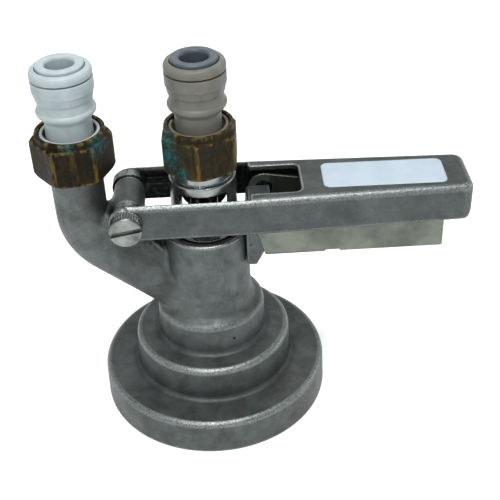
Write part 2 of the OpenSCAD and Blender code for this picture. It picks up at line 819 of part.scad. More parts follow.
// Lever seen from the side: the eye, the arm and the rounded tip
module lever_side() {
    polygon(concat(
        arc(pivot_x, pivot_z, eye_r, 90, 270, 24),
        [[pivot_x + eye_r, lever_low_z]],
        arc(lever_tip - tip_low_r, lever_low_z + tip_low_r, tip_low_r, -90, 0),
        arc(lever_tip - edge_round, lever_top_z - edge_round, edge_round, 0, 90),
        [[pivot_x + eye_r, lever_top_z]]
    ));
}

// Bevel along one upper edge of the lever, from x0 to x1 at the given turn about Z
module edge_bevel(side, x0, x1, turn) {
    translate([x0, side * lever_half(x0), lever_top_z])
        rotate([0, 0, side * turn])
            rotate([45, 0, 0])
                translate([-over, -top_bevel / sqrt(2), -top_bevel / sqrt(2)])
                    cube([x1 - x0 + 2 * over, top_bevel * sqrt(2), top_bevel * sqrt(2)]);
}

// Opening in the roof between the arms, with rounded inner corners
module pocket_plan() {
    corner = pocket_corner_r;
    polygon(concat(
        [[arm_end_x, -arm_top_in], [taper_x, -arm_top_in], [taper_x + pocket_lead, -pocket_half]],
        arc(pocket_end - corner, -pocket_half + corner, corner, -90, 0),
        arc(pocket_end - corner, pocket_half - corner, corner, 0, 90),
        [[taper_x + pocket_lead, pocket_half], [taper_x, arm_top_in], [arm_end_x, arm_top_in]]
    ));
}

// Fork, inverted channel, driving lobes and hinge stubs, cast in one piece
module lever() {
    back = pivot_x - eye_r - over;
    color([0.6, 0.61, 0.6])
        difference() {
            union() {
                difference() {
                    intersection() {
                        translate([0, 0, lever_low_z - eye_r])
                            linear_extrude(height = lever_top_z - lever_low_z + 2 * eye_r)
                                lever_plan(back, 0);
                        side_plate(-fork_half - over, fork_half + over)
                            lever_side();
                    }
                    for (side = [-1, 1]) {
                        edge_bevel(side, pivot_x, taper_x, 0);
                        edge_bevel(side, taper_x, lever_tip, taper_angle);
                    }
                    translate([0, 0, lever_low_z - eye_r])
                        linear_extrude(height = roof_z - lever_low_z + eye_r)
                            difference() {
                                lever_plan(arm_end_x, side_t);
                                translate([back, -fork_half])
                                    square([arm_end_x - back, 2 * fork_half]);
                            }
                    translate([0, 0, roof_z - joint_gap])
                        linear_extrude(height = roof_t + over)
                            pocket_plan();
                    translate([back, -arm_in, lever_low_z - eye_r])
                        cube([arm_end_x - back + joint_gap, 2 * arm_in, lever_top_z - lever_low_z + 2 * eye_r]);
                    translate([pivot_x + eye_r, -arm_top_in, arm_ledge_z])
                        cube([arm_end_x - pivot_x - eye_r + joint_gap, 2 * arm_top_in, lever_top_z]);
                }
                for (side = [-1, 1]) {
                    low = side > 0 ? arm_in : -arm_top_in - joint_gap;
                    high = side > 0 ? arm_top_in + joint_gap : -arm_in;
                    intersection() {
                        cross_pin(lobe_x, lobe_z, lobe_r, low, high);
                        translate([-lobe_r, -fork_half, lobe_z - lobe_r])
                            cube([2 * lobe_r, 2 * fork_half, lobe_r]);
                    }
                    stub_low = side > 0 ? stub_end : -lever_half(hinge_x, side_t / 2);
                    stub_high = side > 0 ? lever_half(hinge_x, side_t / 2) : -stub_end;
                    cross_pin(hinge_x, hinge_z, stub_r, stub_low, stub_high);
                }
                translate([spring_x, 0, roof_z - spring_dome_h])
                    cylinder(r = spring_dome_r, h = spring_dome_h + joint_gap);
            }
            cross_pin(pivot_x, pivot_z, bolt_r + joint_gap, -fork_half - over, fork_half + over);
        }
}

// Pivot bolt with a round slotted head, through both eyes
module pivot_bolt() {
    head = fork_half + joint_gap;
    color([0.7, 0.71, 0.7])
        difference() {
            union() {
                cross_pin(pivot_x, pivot_z, bolt_r, -head - over, fork_half);
                cross_pin(pivot_x, pivot_z, bolt_head_r, -head - bolt_head_h + head_bevel, -head);
                translate([pivot_x, -head - bolt_head_h + head_bevel, pivot_z])
                    rotate([90, 0, 0])
                        cylinder(r1 = bolt_head_r, r2 = bolt_head_r - head_bevel, h = head_bevel);
            }
            translate([pivot_x, -head - bolt_head_h, pivot_z])
                rotate([0, -slot_turn, 0])
                    translate([-bolt_head_r - over, -over, -slot_w / 2])
                        cube([2 * (bolt_head_r + over), over + slot_depth, slot_w]);
            for (i = [0:knurl_count - 1])
                cross_pin(pivot_x + bolt_head_r * cos(i * 360 / knurl_count),
                    pivot_z + bolt_head_r * sin(i * 360 / knurl_count), knurl_r,
                    -head - bolt_head_h + 2 * head_bevel, -head - head_bevel, $fn = 4);
        }
}

// Side outline of the trigger's cheeks
module cheek_side() {
    corner = trigger_corner_r;
    lobe = trigger_lobe_r;
    top_z = hinge_z - lever_under + lever_over * cheek_top_share;
    polygon(concat(
        [[hinge_x - sheet_t / 2, web_z], [trigger_tip - tip_bevel, web_z], [trigger_tip, web_z + tip_bevel]],
        arc(trigger_tip - corner, top_z - corner, corner, 0, 80),
        arc(hinge_x, hinge_z, lobe, 80, 190, 16),
        [[hinge_x - lobe * cheek_back_shares[0], web_z + trigger_depth * cheek_back_shares[1]]]
    ));
}

// Trigger: a folded sheet channel on the two stubs, notched across its web at the spring
module trigger() {
    inside_top = hinge_z + trigger_lobe_r + over;
    notch_foot = notch_w / 2 + notch_slope * (notch_h + over) / notch_h;
    color([0.68, 0.69, 0.66])
        difference() {
            side_plate(-trigger_half, trigger_half)
                cheek_side();
            side_plate(-cheek_in, cheek_in)
                polygon([
                    [hinge_x - 2 * trigger_lobe_r, web_z - over], [hinge_x, web_z - over],
                    [hinge_x, web_z + sheet_t], [trigger_tip + over, web_z + sheet_t],
                    [trigger_tip + over, inside_top], [hinge_x - 2 * trigger_lobe_r, inside_top]
                ]);
            cross_pin(hinge_x, hinge_z, stub_bore_r, -trigger_half - over, trigger_half + over);
            cross_pin(rivet_x, rivet_z, rivet_r + joint_gap, -trigger_half - over, trigger_half + over);
            for (side = [-1, 1]) {
                low = side > 0 ? notch_in : -trigger_half - over;
                high = side > 0 ? trigger_half + over : -notch_in;
                side_plate(low, high)
                    polygon([
                        [notch_x - notch_foot, web_z - over], [notch_x + notch_foot, web_z - over],
                        [notch_x + notch_w / 2, web_z + notch_h], [notch_x - notch_w / 2, web_z + notch_h]
                    ]);
                translate([hinge_x - 2 * trigger_lobe_r, side * trigger_half, web_z])
                    rotate([45, 0, 0])
                        translate([0, -bend_bevel / sqrt(2), -bend_bevel / sqrt(2)])
                            cube([2 * trigger_tip, bend_bevel * sqrt(2), bend_bevel * sqrt(2)]);
            }
        }
}

// Latch block between the cheeks, hollowed for the tower and hooked under its catch nose
module latch_block() {
    hook_x = catch_reach + hook_gap;
    color([0.5, 0.51, 0.5])
        difference() {
            side_plate(-latch_half, latch_half)
                polygon([
                    [latch_face_x + latch_top_bevel, latch_foot_z], [hinge_x - latch_foot_back, latch_foot_z],
                    [hinge_x - sheet_t, latch_knee_z - sheet_t / 3], [hinge_x - sheet_t, latch_knee_z],
                    [latch_back_x, latch_knee_z], [latch_back_x, latch_top_z],
                    [latch_face_x + 2 * latch_top_bevel, latch_top_z],
                    [latch_face_x + latch_top_bevel, latch_top_z - latch_top_bevel],
                    [latch_face_x, (latch_top_z + latch_foot_z) / 2], [latch_face_x, latch_foot_z + latch_top_bevel]
                ]);
            translate([0, 0, latch_foot_z - over])
                cylinder(r = latch_hollow_r, h = rim_z - latch_foot_z + 2 * over);
            side_plate(-nose_half - hook_gap, nose_half + hook_gap)
                polygon([
                    [0, catch_low_z - hook_gap], [tower_foot_r - joint_gap, catch_low_z - hook_gap * 3],
                    [hook_x, catch_corner_z - hook_gap], [hook_x, catch_corner_z + catch_flat + hook_gap],
                    [tower_foot_r, catch_corner_z + catch_flat + catch_top + hook_gap],
                    [0, catch_corner_z + catch_flat + catch_top + hook_gap]
                ]);
            cross_pin(rivet_x, rivet_z, rivet_r + joint_gap, -latch_half - over, latch_half + over);
        }
}

module latch_rivet() {
    color([0.6, 0.61, 0.6]) {
        cross_pin(rivet_x, rivet_z, rivet_r, -trigger_half - joint_gap * 2, trigger_half + joint_gap * 2);
        cross_pin(rivet_x, rivet_z, rivet_head_r, trigger_half + joint_gap, trigger_half + rivet_head_h);
        cross_pin(rivet_x, rivet_z, rivet_head_r, -trigger_half - rivet_head_h, -trigger_half - joint_gap);
    }
}

// Centre line of the latch spring: closed end coils and open ones between them
function spring_share(t) = t < 0.125 ? t * spring_flat_share : t > 0.875 ? 1 - (1 - t) * spring_flat_share :
    0.125 * spring_flat_share + (t - 0.125) * (1 - 0.25 * spring_flat_share) / 0.75;
spring_run = spring_high_z - spring_low_z - 2 * spring_wire_r;
function spring_point(i) = let(t = i / (spring_turns * spring_rings), a = 360 * i / spring_rings)
    [spring_r * cos(a), spring_r * sin(a), spring_low_z + spring_wire_r + spring_run * spring_share(t)];
spring_count = spring_turns * spring_rings;
spring_line = [for (i = [0:spring_count]) spring_point(i)];
spring_least = min([for (i = [0:spring_count - spring_rings])
    norm(spring_line[i + spring_rings] - spring_line[i])]) - 2 * spring_wire_r;
echo(spring_least_gap = spring_least);

module latch_spring() {
    ring_points = [for (i = [0:spring_count]) let(a = 360 * i / spring_rings)
        [for (k = [0:spring_sides - 1]) let(b = 360 * k / spring_sides) spring_line[i]
            + spring_wire_r * [cos(b) * cos(a), cos(b) * sin(a), sin(b)]]];
    sides = spring_sides;
    walls = [for (i = [0:spring_count - 1], k = [0:sides - 1]) let(a = i * sides + k,
        b = i * sides + (k + 1) % sides) each [[a, a + sides, b + sides], [a, b + sides, b]]];
    first = [for (k = [1:sides - 2]) [0, k, k + 1]];
    last = [for (k = [1:sides - 2]) [spring_count * sides, spring_count * sides + k + 1, spring_count * sides + k]];
    color([0.72, 0.73, 0.72])
        translate([spring_x, 0, 0])
            polyhedron(points = [for (r = ring_points) each r], faces = concat(walls, first, last));
}

coupler_body();
keg_seal();
gas_check_valve();
gas_washer();
gas_nut();
gas_fitting();
gas_clip();
gas_tube_seal();
gas_cap();
gas_collet();
probe_sleeve();
sleeve_orings();
probe_tube();
probe_seal();
probe_tip();
beer_washer();
beer_nut();
beer_fitting();
beer_clip();
beer_tube_seal();
beer_cap();
beer_collet();
lever();
pivot_bolt();
trigger();
latch_block();
latch_rivet();
latch_spring();
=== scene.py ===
import math

import bpy
import numpy as np
from mathutils import Matrix


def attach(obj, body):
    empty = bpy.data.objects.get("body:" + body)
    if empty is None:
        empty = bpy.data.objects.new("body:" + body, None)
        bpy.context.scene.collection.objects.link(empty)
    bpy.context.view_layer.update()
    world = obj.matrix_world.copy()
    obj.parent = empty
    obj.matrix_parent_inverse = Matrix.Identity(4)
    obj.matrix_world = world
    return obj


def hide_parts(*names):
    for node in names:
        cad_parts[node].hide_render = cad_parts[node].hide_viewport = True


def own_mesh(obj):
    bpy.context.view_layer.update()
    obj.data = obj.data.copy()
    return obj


# Keg coupler: an investment-cast stainless body and lever, a windowed probe sleeve, a folded
# trigger with its latch, and two push-fit tube fittings under old brass union nuts.
# Sizes here are in millimetres and become metres where a mesh is made.
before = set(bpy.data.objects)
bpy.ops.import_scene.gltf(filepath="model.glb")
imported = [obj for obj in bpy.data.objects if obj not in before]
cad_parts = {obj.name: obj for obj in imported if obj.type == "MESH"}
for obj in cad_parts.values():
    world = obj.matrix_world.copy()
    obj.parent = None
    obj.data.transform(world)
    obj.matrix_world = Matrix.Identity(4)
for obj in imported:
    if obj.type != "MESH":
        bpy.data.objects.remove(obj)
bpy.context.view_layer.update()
metre = 0.001


# Camera and studio. The camera stands in front of the coupler and looks down on it. Soft lamps hang
# above it and in front, with weak ones at its sides and back; the surroundings are white at the
# horizon and greyer overhead, as in a room with a pale floor, which gives blasted metal its grey.
camera_place = np.array([8.43, -303.33, 278.85])
camera_pitch, camera_yaw, camera_roll = 0.621, 0.025, -0.041
focal_px, frame_px = 983, 500
sensor_mm = 36


def placed(name, data, place, ahead, up):
    """An object at place that looks along ahead, with up as near upward as that allows."""
    back = -ahead / np.linalg.norm(ahead)
    right = np.cross(up, back)
    right /= np.linalg.norm(right)
    thing = bpy.data.objects.new(name, data)
    turn = np.eye(4)
    turn[:3, 0], turn[:3, 1], turn[:3, 2], turn[:3, 3] = right, np.cross(back, right), back, place * metre
    thing.matrix_world = Matrix(turn.tolist())
    bpy.context.scene.collection.objects.link(thing)
    return thing


reach = math.cos(camera_pitch)
sight = np.array([math.sin(camera_yaw) * reach, math.cos(camera_yaw) * reach, -math.sin(camera_pitch)])
level = np.array([math.cos(camera_yaw), -math.sin(camera_yaw), 0])
upright = np.cross(level, sight)
lens = bpy.data.cameras.new("camera")
lens.sensor_width = sensor_mm
lens.lens = focal_px / frame_px * sensor_mm
lens.clip_start, lens.clip_end = 0.01, 20
camera = placed("camera", lens, camera_place, sight,
                upright * math.cos(camera_roll) - level * math.sin(camera_roll))
bpy.context.scene.camera = camera
bpy.context.scene.view_settings.view_transform = "Standard"

lamp_aim = np.array([10.0, 0.0, 60.0])
lamp_plan = {
    "lamp_front": ((-120, -420, 520), (200, 120), 1.15),
    "lamp_above": ((20, -160, 700), (260, 260), 3.1),
    "lamp_left": ((-520, 60, 300), (200, 320), 0.14),
    "lamp_right": ((560, 120, 260), (160, 300), 0.4),
    "lamp_back": ((60, 420, 460), (400, 120), 0.4),
}
for name, (place, size, watts) in lamp_plan.items():
    lamp = bpy.data.lights.new(name, "AREA")
    lamp.shape = "RECTANGLE"
    lamp.size, lamp.size_y = size[0] * metre, size[1] * metre
    lamp.energy = watts
    placed(name, lamp, np.array(place, float), lamp_aim - np.array(place, float), np.array([0.0, 0.0, 1.0]))


def colour(code):
    """Linear red, green, blue and alpha of an sRGB hex code."""
    part = [int(code[i:i + 2], 16) / 255 for i in (1, 3, 5)]
    return tuple(v / 12.92 if v <= 0.04045 else ((v + 0.055) / 1.055) ** 2.4 for v in part) + (1.0,)


def plug(tree, node, sockets):
    """Gives each of a node's sockets its number, the colour of a hex code or another node's output."""
    for key, value in sockets.items():
        if isinstance(value, bpy.types.NodeSocket):
            tree.links.new(value, node.inputs[key])
        else:
            node.inputs[key].default_value = colour(value) if isinstance(value, str) else value


def add(tree, kind, sockets=None, **settings):
    """A shader node with its settings and its sockets."""
    made = tree.nodes.new(kind)
    for key, value in settings.items():
        setattr(made, key, value)
    plug(tree, made, sockets or {})
    return made


def calc(tree, kind, one, two):
    """What a Math node makes of two values."""
    return add(tree, "ShaderNodeMath", {0: one, 1: two}, operation=kind).outputs[0]


def seen_rays(tree):
    """1 on camera, glossy and transmission rays, 0 on the rays that light the object."""
    path = add(tree, "ShaderNodeLightPath").outputs
    mirrored = calc(tree, "MAXIMUM", path["Is Glossy Ray"], path["Is Transmission Ray"])
    return calc(tree, "MAXIMUM", path["Is Camera Ray"], mirrored)


world = bpy.data.worlds.new("studio")
bpy.context.scene.world = world
world.use_nodes = True
sky = world.node_tree
sky.nodes.clear()
height = add(sky, "ShaderNodeSeparateXYZ", {0: add(sky, "ShaderNodeTexCoord").outputs["Generated"]})
shade = add(sky, "ShaderNodeValToRGB", {0: height.outputs["Z"]})
for stop, rise, code in zip(shade.color_ramp.elements, (0.12, 0.62), ("#ffffff", "#8b8f90")):
    stop.position = rise
    stop.color = colour(code)
fill = add(sky, "ShaderNodeBackground", {"Color": "#eef1f2", "Strength": 0.55})
seen = add(sky, "ShaderNodeBackground", {"Color": shade.outputs[0], "Strength": 1.0})
pick = add(sky, "ShaderNodeMixShader", {0: seen_rays(sky), 1: fill.outputs[0], 2: seen.outputs[0]})
add(sky, "ShaderNodeOutputWorld", {0: pick.outputs[0]})

half = 3.0
floor_mesh = bpy.data.meshes.new("floor")
floor_corners = [(-half, -half, 0), (half, -half, 0), (half, half, 0), (-half, half, 0)]
floor_mesh.from_pydata(floor_corners, [], [(0, 1, 2, 3)])
studio_floor = bpy.data.objects.new("studio_floor", floor_mesh)
bpy.context.scene.collection.objects.link(studio_floor)
floor_paint = bpy.data.materials.new("pale_floor")
floor_paint.use_nodes = True
tree = floor_paint.node_tree
tree.nodes.clear()
flat = add(tree, "ShaderNodeBsdfDiffuse", {"Color": "#e9ebeb"})
glow = add(tree, "ShaderNodeEmission", {"Color": "#ffffff", "Strength": 0.45})
nothing = add(tree, "ShaderNodeEmission", {"Strength": 0.0})
lit = add(tree, "ShaderNodeMixShader", {0: seen_rays(tree), 1: nothing.outputs[0], 2: glow.outputs[0]})
both = add(tree, "ShaderNodeAddShader", {0: flat.outputs[0], 1: lit.outputs[0]})
add(tree, "ShaderNodeOutputMaterial", {0: both.outputs[0]})
floor_mesh.materials.append(floor_paint)


# Body casting: bell, tower, gas elbow and pivot boss in one investment casting of stainless steel,
# blasted and then worn bright along its edges, with a painted highlight where those edges face the
# lamps. The form is a signed distance: each part is a simple solid, and where two meet, the cast
# fillet is a smooth minimum of their distances.
bell_r, bell_top, mid_r, mid_top, upper_r, upper_top = 44, 14.2, 30.4, 28.4, 20.8, 41.5
tower_foot_r, tower_rim_r, rim_z, draft = 15.95, 15.5, 74.8, 0.3
step_round, foot_fillet, tower_fillet, rim_round, fillet_width = 2.2, 2.0, 4.8, 0.9, 1.17
elbow_fillet, web_fillet, boss_fillet, nose_fillet, lug_fillet, way_round = 3.2, 2.4, 1.6, 0.8, 1.0, 0.35
skirt_r, skirt_z, chamber_r, chamber_z, throat_r, slide_z, slide_r = 37, 9.7, 24.8, 23.9, 9, 36.26, 12.12
elbow_x, elbow_r, elbow_bore_r, bend_r, bend_z = -44.7, 9.4, 5, 20, 83.4
leg_start, leg_slope, gas_nut_z, stem_z, stem_r = (-37.29, 67.86), math.radians(39), 101.3, 111.6, 11.2
stem_way_r, seat_r, seat_h, lip_w, lead_in, lead_top, elbow_way_in = 6, 8.2, 1.2, 0.6, 1, 3, 7
skirt_round, chamber_round, elbow_short, stem_sunk, web_over, lip_over = 1.5, 0.8, 0.05, 0.2, 1, 1
web_front, web_low, web_high, web_crown, web_lean, web_back = -14.5, 51.5, 66.5, 68.8, 4.7, 3.1
pivot_x, pivot_z, boss_r, boss_half, bolt_bore_r, web_half = -27.5, 86.3, 5.6, 9, 3.55, 5.5
nose_x, nose_low, nose_corner, nose_high, nose_half = 18.2, 62, 68, 70.5, 4
nose_root, nose_foot, nose_rise, lugs = 14.5, 15.9, 3, 3
lug_in, lug_low, lug_high, lug_half_turn, lug_sunk = 32.5, 1, 4, math.radians(21), 1.5


def soft_min(a, b, width):
    """Union of two solids with a fillet: the lesser distance, less a parabola where they are near."""
    near = np.clip(0.5 + 0.5 * (b - a) / width, 0, 1)
    return b + (a - b) * near - width * near * (1 - near)


def edged(a, b, rounding):
    """Where both solids are: the greater distance, with the edge between them rounded to a radius."""
    p, q = a + rounding, b + rounding
    return np.minimum(np.maximum(p, q), 0) + np.hypot(np.maximum(p, 0), np.maximum(q, 0)) - rounding


def to_run(u, v, start, end):
    """Distance in a plane to the straight run from start to end."""
    (u0, v0), (u1, v1) = start, end
    far_u, far_v = u1 - u0, v1 - v0
    along = np.clip(((u - u0) * far_u + (v - v0) * far_v) / (far_u ** 2 + far_v ** 2), 0, 1)
    return np.hypot(u - u0 - along * far_u, v - v0 - along * far_v)


def outline(u, v, corners):
    """Signed distance in a plane to a closed outline: the least distance to its edges, negative
    where a level ray crosses them an odd number of times."""
    u, v = np.broadcast_arrays(u, v)
    best, odd = np.full(u.shape, np.inf), np.zeros(u.shape, bool)
    for (u0, v0), (u1, v1) in zip(corners, corners[1:] + corners[:1]):
        best = np.minimum(best, to_run(u, v, (u0, v0), (u1, v1)))
        if v0 != v1:
            odd ^= ((v0 > v) != (v1 > v)) & (u < (u1 - u0) * (v - v0) / (v1 - v0) + u0)
    return np.where(odd, -best, best)


def to_elbow(x, y, z):
    """Distance to the elbow's centre line: an upright run, an arc of the bend's radius and the leg."""
    centre = elbow_x + bend_r
    up = to_run(x, z, (elbow_x, bend_z), (elbow_x, stem_z + bend_r))
    leg = to_run(x, z, leg_start, (0.0, leg_start[1] + leg_start[0] * math.tan(leg_slope)))
    turn = np.arctan2(bend_z - z, centre - x)
    arc = np.abs(np.hypot(x - centre, z - bend_z) - bend_r)
    arc = np.where((turn > 0) & (turn < math.pi / 2 - leg_slope), arc, np.inf)
    return np.hypot(np.minimum(np.minimum(up, leg), arc), y)


def step(r, z, radius, low, high):
    """Signed distance of a turned step: its wall draws in by the draft from low to high."""
    return edged(r - radius + draft * (z - low) / (high - low), z - high, step_round)


def casting(x, y, z):
    """Signed distance of the body: stepped bell, tower, elbow, web, boss and nose, less its ways."""
    r = np.hypot(x, y)
    form = step(r, z, bell_r, 0, bell_top)
    form = soft_min(form, step(r, z, mid_r, bell_top, mid_top), fillet_width * foot_fillet)
    form = soft_min(form, step(r, z, upper_r, mid_top, upper_top), fillet_width * foot_fillet)
    lean = (tower_foot_r - tower_rim_r) / (rim_z - upper_top)
    tower = edged(r - tower_foot_r + lean * (z - upper_top), z - rim_z, rim_round)
    form = soft_min(form, tower, fillet_width * tower_fillet)
    rod = to_elbow(x, y, z)
    form = soft_min(form, edged(rod - elbow_r, z - gas_nut_z + elbow_short, 0.5), elbow_fillet)
    web = outline(x, z, [(pivot_x - boss_r, pivot_z), (pivot_x + boss_r, pivot_z),
                         (pivot_x + boss_r, rim_z + web_over), (pivot_x + 2 * boss_r, web_crown),
                         (web_front, web_high), (web_front, web_low), leg_start,
                         (leg_start[0] - web_lean, bend_z - elbow_r), (pivot_x - boss_r - web_back, bend_z)])
    form = soft_min(form, edged(web, np.abs(y) - web_half, 1.2), web_fillet)
    boss = edged(np.hypot(x - pivot_x, z - pivot_z) - boss_r, np.abs(y) - boss_half, 0.7)
    form = soft_min(form, boss, boss_fillet)
    nose = outline(x, z, [(nose_root, nose_low), (nose_foot, nose_low), (nose_x, nose_corner),
                          (nose_x, nose_high), (nose_root, nose_high + nose_rise)])
    form = soft_min(form, edged(nose, np.abs(y) - nose_half, 0.5), nose_fillet)
    stem = np.hypot(x - elbow_x, y)
    form = np.minimum(form, edged(stem - stem_r, np.maximum(z - stem_z, gas_nut_z - stem_sunk - z), 0.5))
    form = edged(form, -z, rim_round)
    lip = (r - slide_r - lip_w - (z - rim_z)) / math.sqrt(2)
    slide_cone = slide_z - lead_in - z + np.maximum(r - throat_r, 0)
    ways = r - throat_r
    for way in (edged(r - skirt_r, z - skirt_z, skirt_round),
                edged(r - chamber_r, z - chamber_z, chamber_round),
                np.maximum(r - skirt_r - lead_in + z, z - lead_top), np.maximum(r - slide_r, slide_cone),
                np.maximum(lip, z - rim_z - lip_over), np.maximum(rod - elbow_bore_r, elbow_way_in - r),
                np.maximum(stem - stem_way_r, gas_nut_z - z), np.maximum(stem - seat_r, stem_z - seat_h - z),
                np.hypot(x - pivot_x, z - pivot_z) - bolt_bore_r):
        ways = np.minimum(ways, way)
    form = edged(form, -ways, way_round)
    pitch = 2 * math.pi / lugs
    turn = np.abs(np.mod(np.arctan2(y, x) + math.pi / 2 + pitch / 2, pitch) - pitch / 2)
    height = np.abs(z - (lug_low + lug_high) / 2) - (lug_high - lug_low) / 2
    lug = edged(np.maximum(lug_in - r, r - skirt_r - lug_sunk), height, 0.7)
    lug = edged(lug, (turn - lug_half_turn) * r, 0.7)
    return soft_min(form, lug, lug_fillet)


def net(distance, low, high, cell):
    """Points, outward faces, normals and bend of a solid's surface, from its signed distance on a grid.
    Each cell that the surface crosses has one point, the mean of its edge crossings; each crossed edge
    makes a face of its four cells. The points then go down the slope onto the surface, the slope gives
    the normals, and the sum of the second differences gives the bend, above 0 on outer edges."""
    low, high = np.array(low, float), np.array(high, float)
    count = np.ceil((high - low) / cell).astype(int) + 1
    line = [low[a] + cell * np.arange(count[a]) for a in range(3)]
    value = distance(line[0][:, None, None], line[1][None, :, None], line[2][None, None, :])
    inside = value < 0
    corner = np.array([(a, b, c) for a in (0, 1) for b in (0, 1) for c in (0, 1)])
    total = np.zeros([n - 1 for n in count], np.int8)
    for a, b, c in corner:
        total += inside[a:a + total.shape[0], b:b + total.shape[1], c:c + total.shape[2]]
    active = (total > 0) & (total < 8)
    place = np.argwhere(active)
    held = np.stack([value[tuple((place + shift).T)] for shift in corner], 1)
    one, two = np.array([(p, q) for p in range(8) for q in range(p + 1, 8)
                         if np.abs(corner[p] - corner[q]).sum() == 1]).T
    crossed = (held[:, one] < 0) != (held[:, two] < 0)
    share = held[:, one] / np.where(crossed, held[:, one] - held[:, two], 1)
    spot = corner[one] + share[..., None] * (corner[two] - corner[one])
    point = (spot * crossed[..., None]).sum(1) / crossed.sum(1)[:, None]
    point = low + cell * (place + point)
    number = np.full(active.shape, -1)
    number[active] = np.arange(len(place))
    faces = []
    for a in range(3):
        order = (a, (a + 1) % 3, (a + 2) % 3)
        solid, index = inside.transpose(order), number.transpose(order)
        i, j, k = np.nonzero(solid[:-1, 1:-1, 1:-1] != solid[1:, 1:-1, 1:-1])
        ring = np.stack([index[i, j, k], index[i, j + 1, k], index[i, j + 1, k + 1], index[i, j, k + 1]], 1)
        inward = ~solid[i, j + 1, k + 1]
        ring[inward] = ring[inward][:, ::-1]
        faces.append(ring)
    unit = np.eye(3)

    def slope(p, reach=0.01):
        """Central differences of the distance along the three axes."""
        rise = [distance(*(p + reach * e).T) - distance(*(p - reach * e).T) for e in unit]
        return np.stack(rise, 1) / (2 * reach)

    for _ in range(3):
        steep = slope(point)
        move = -distance(*point.T)[:, None] * steep / np.maximum((steep ** 2).sum(1), 0.1)[:, None]
        far = np.linalg.norm(move, axis=1)[:, None]
        point = point + move * np.minimum(1, 0.5 * cell / np.maximum(far, 1e-9))
    normal = slope(point, 0.12 * cell)
    normal /= np.maximum(np.linalg.norm(normal, axis=1), 1e-9)[:, None]
    reach = 0.8
    bend = sum(distance(*(point + s * reach * e).T) for e in unit for s in (-1, 1)) - 6 * distance(*point.T)
    return point, np.concatenate(faces), normal, bend / reach ** 2


def skin(name, point, faces, finish, normal=None, **marks):
    """A mesh object from points in millimetres, with smooth faces, its material and any point marks."""
    mesh = bpy.data.meshes.new(name)
    mesh.from_pydata((point * metre).tolist(), [], faces.tolist() if isinstance(faces, np.ndarray) else faces)
    mesh.shade_smooth()
    for mark, values in marks.items():
        layer = mesh.attributes.new(mark, "FLOAT", "POINT")
        layer.data.foreach_set("value", np.ascontiguousarray(values, dtype=np.float32))
    if normal is not None:
        mesh.normals_split_custom_set_from_vertices(normal.tolist())
    mesh.materials.append(finish)
    piece = bpy.data.objects.new(name, mesh)
    bpy.context.scene.collection.objects.link(piece)
    return piece


def stuff(name):
    """A material with only a Principled shader, its output and the piece's Object coordinates."""
    made = bpy.data.materials.new(name)
    made.use_nodes = True
    tree = made.node_tree
    tree.nodes.clear()
    shader = add(tree, "ShaderNodeBsdfPrincipled")
    add(tree, "ShaderNodeOutputMaterial", {0: shader.outputs[0]})
    return made, tree, shader, add(tree, "ShaderNodeTexCoord").outputs["Object"]


def noise(tree, spot, scale, detail, rough=0.5, warp=0.0):
    """A noise texture's value, with scale cells to the metre."""
    return add(tree, "ShaderNodeTexNoise", {"Vector": spot, "Scale": scale, "Detail": detail,
                                            "Roughness": rough, "Distortion": warp}).outputs["Fac"]


def told(tree, mark):
    """The value that a piece's points carry under a mark's name."""
    return add(tree, "ShaderNodeAttribute", attribute_name=mark).outputs["Fac"]


def relief(tree, shader, strength, depth, height):
    """Bends the shader's normal by a height."""
    bump = add(tree, "ShaderNodeBump", {"Strength": strength, "Distance": depth, "Height": height})
    tree.links.new(bump.outputs[0], shader.inputs["Normal"])


def ramp(tree, source, stops):
    """A colour ramp from (place, hex code) stops."""
    made = add(tree, "ShaderNodeValToRGB", {0: source})
    line = made.color_ramp.elements
    while len(line) < len(stops):
        line.new(1.0)
    for stop, (place, code) in zip(line, stops):
        stop.position = place
        stop.color = colour(code)
    return made.outputs[0]


def span(tree, source, low, high, to_low=0.0, to_high=1.0):
    """The source's stretch from low to high, spread from to_low to to_high and held there beyond."""
    return add(tree, "ShaderNodeMapRange", {0: source, 1: low, 2: high, 3: to_low, 4: to_high}).outputs[0]


def blend(tree, share, under, over, kind="MIX"):
    """Colour over laid on colour under by share."""
    made = add(tree, "ShaderNodeMix", {0: share, 6: under, 7: over}, data_type="RGBA", blend_type=kind)
    return made.outputs[2]
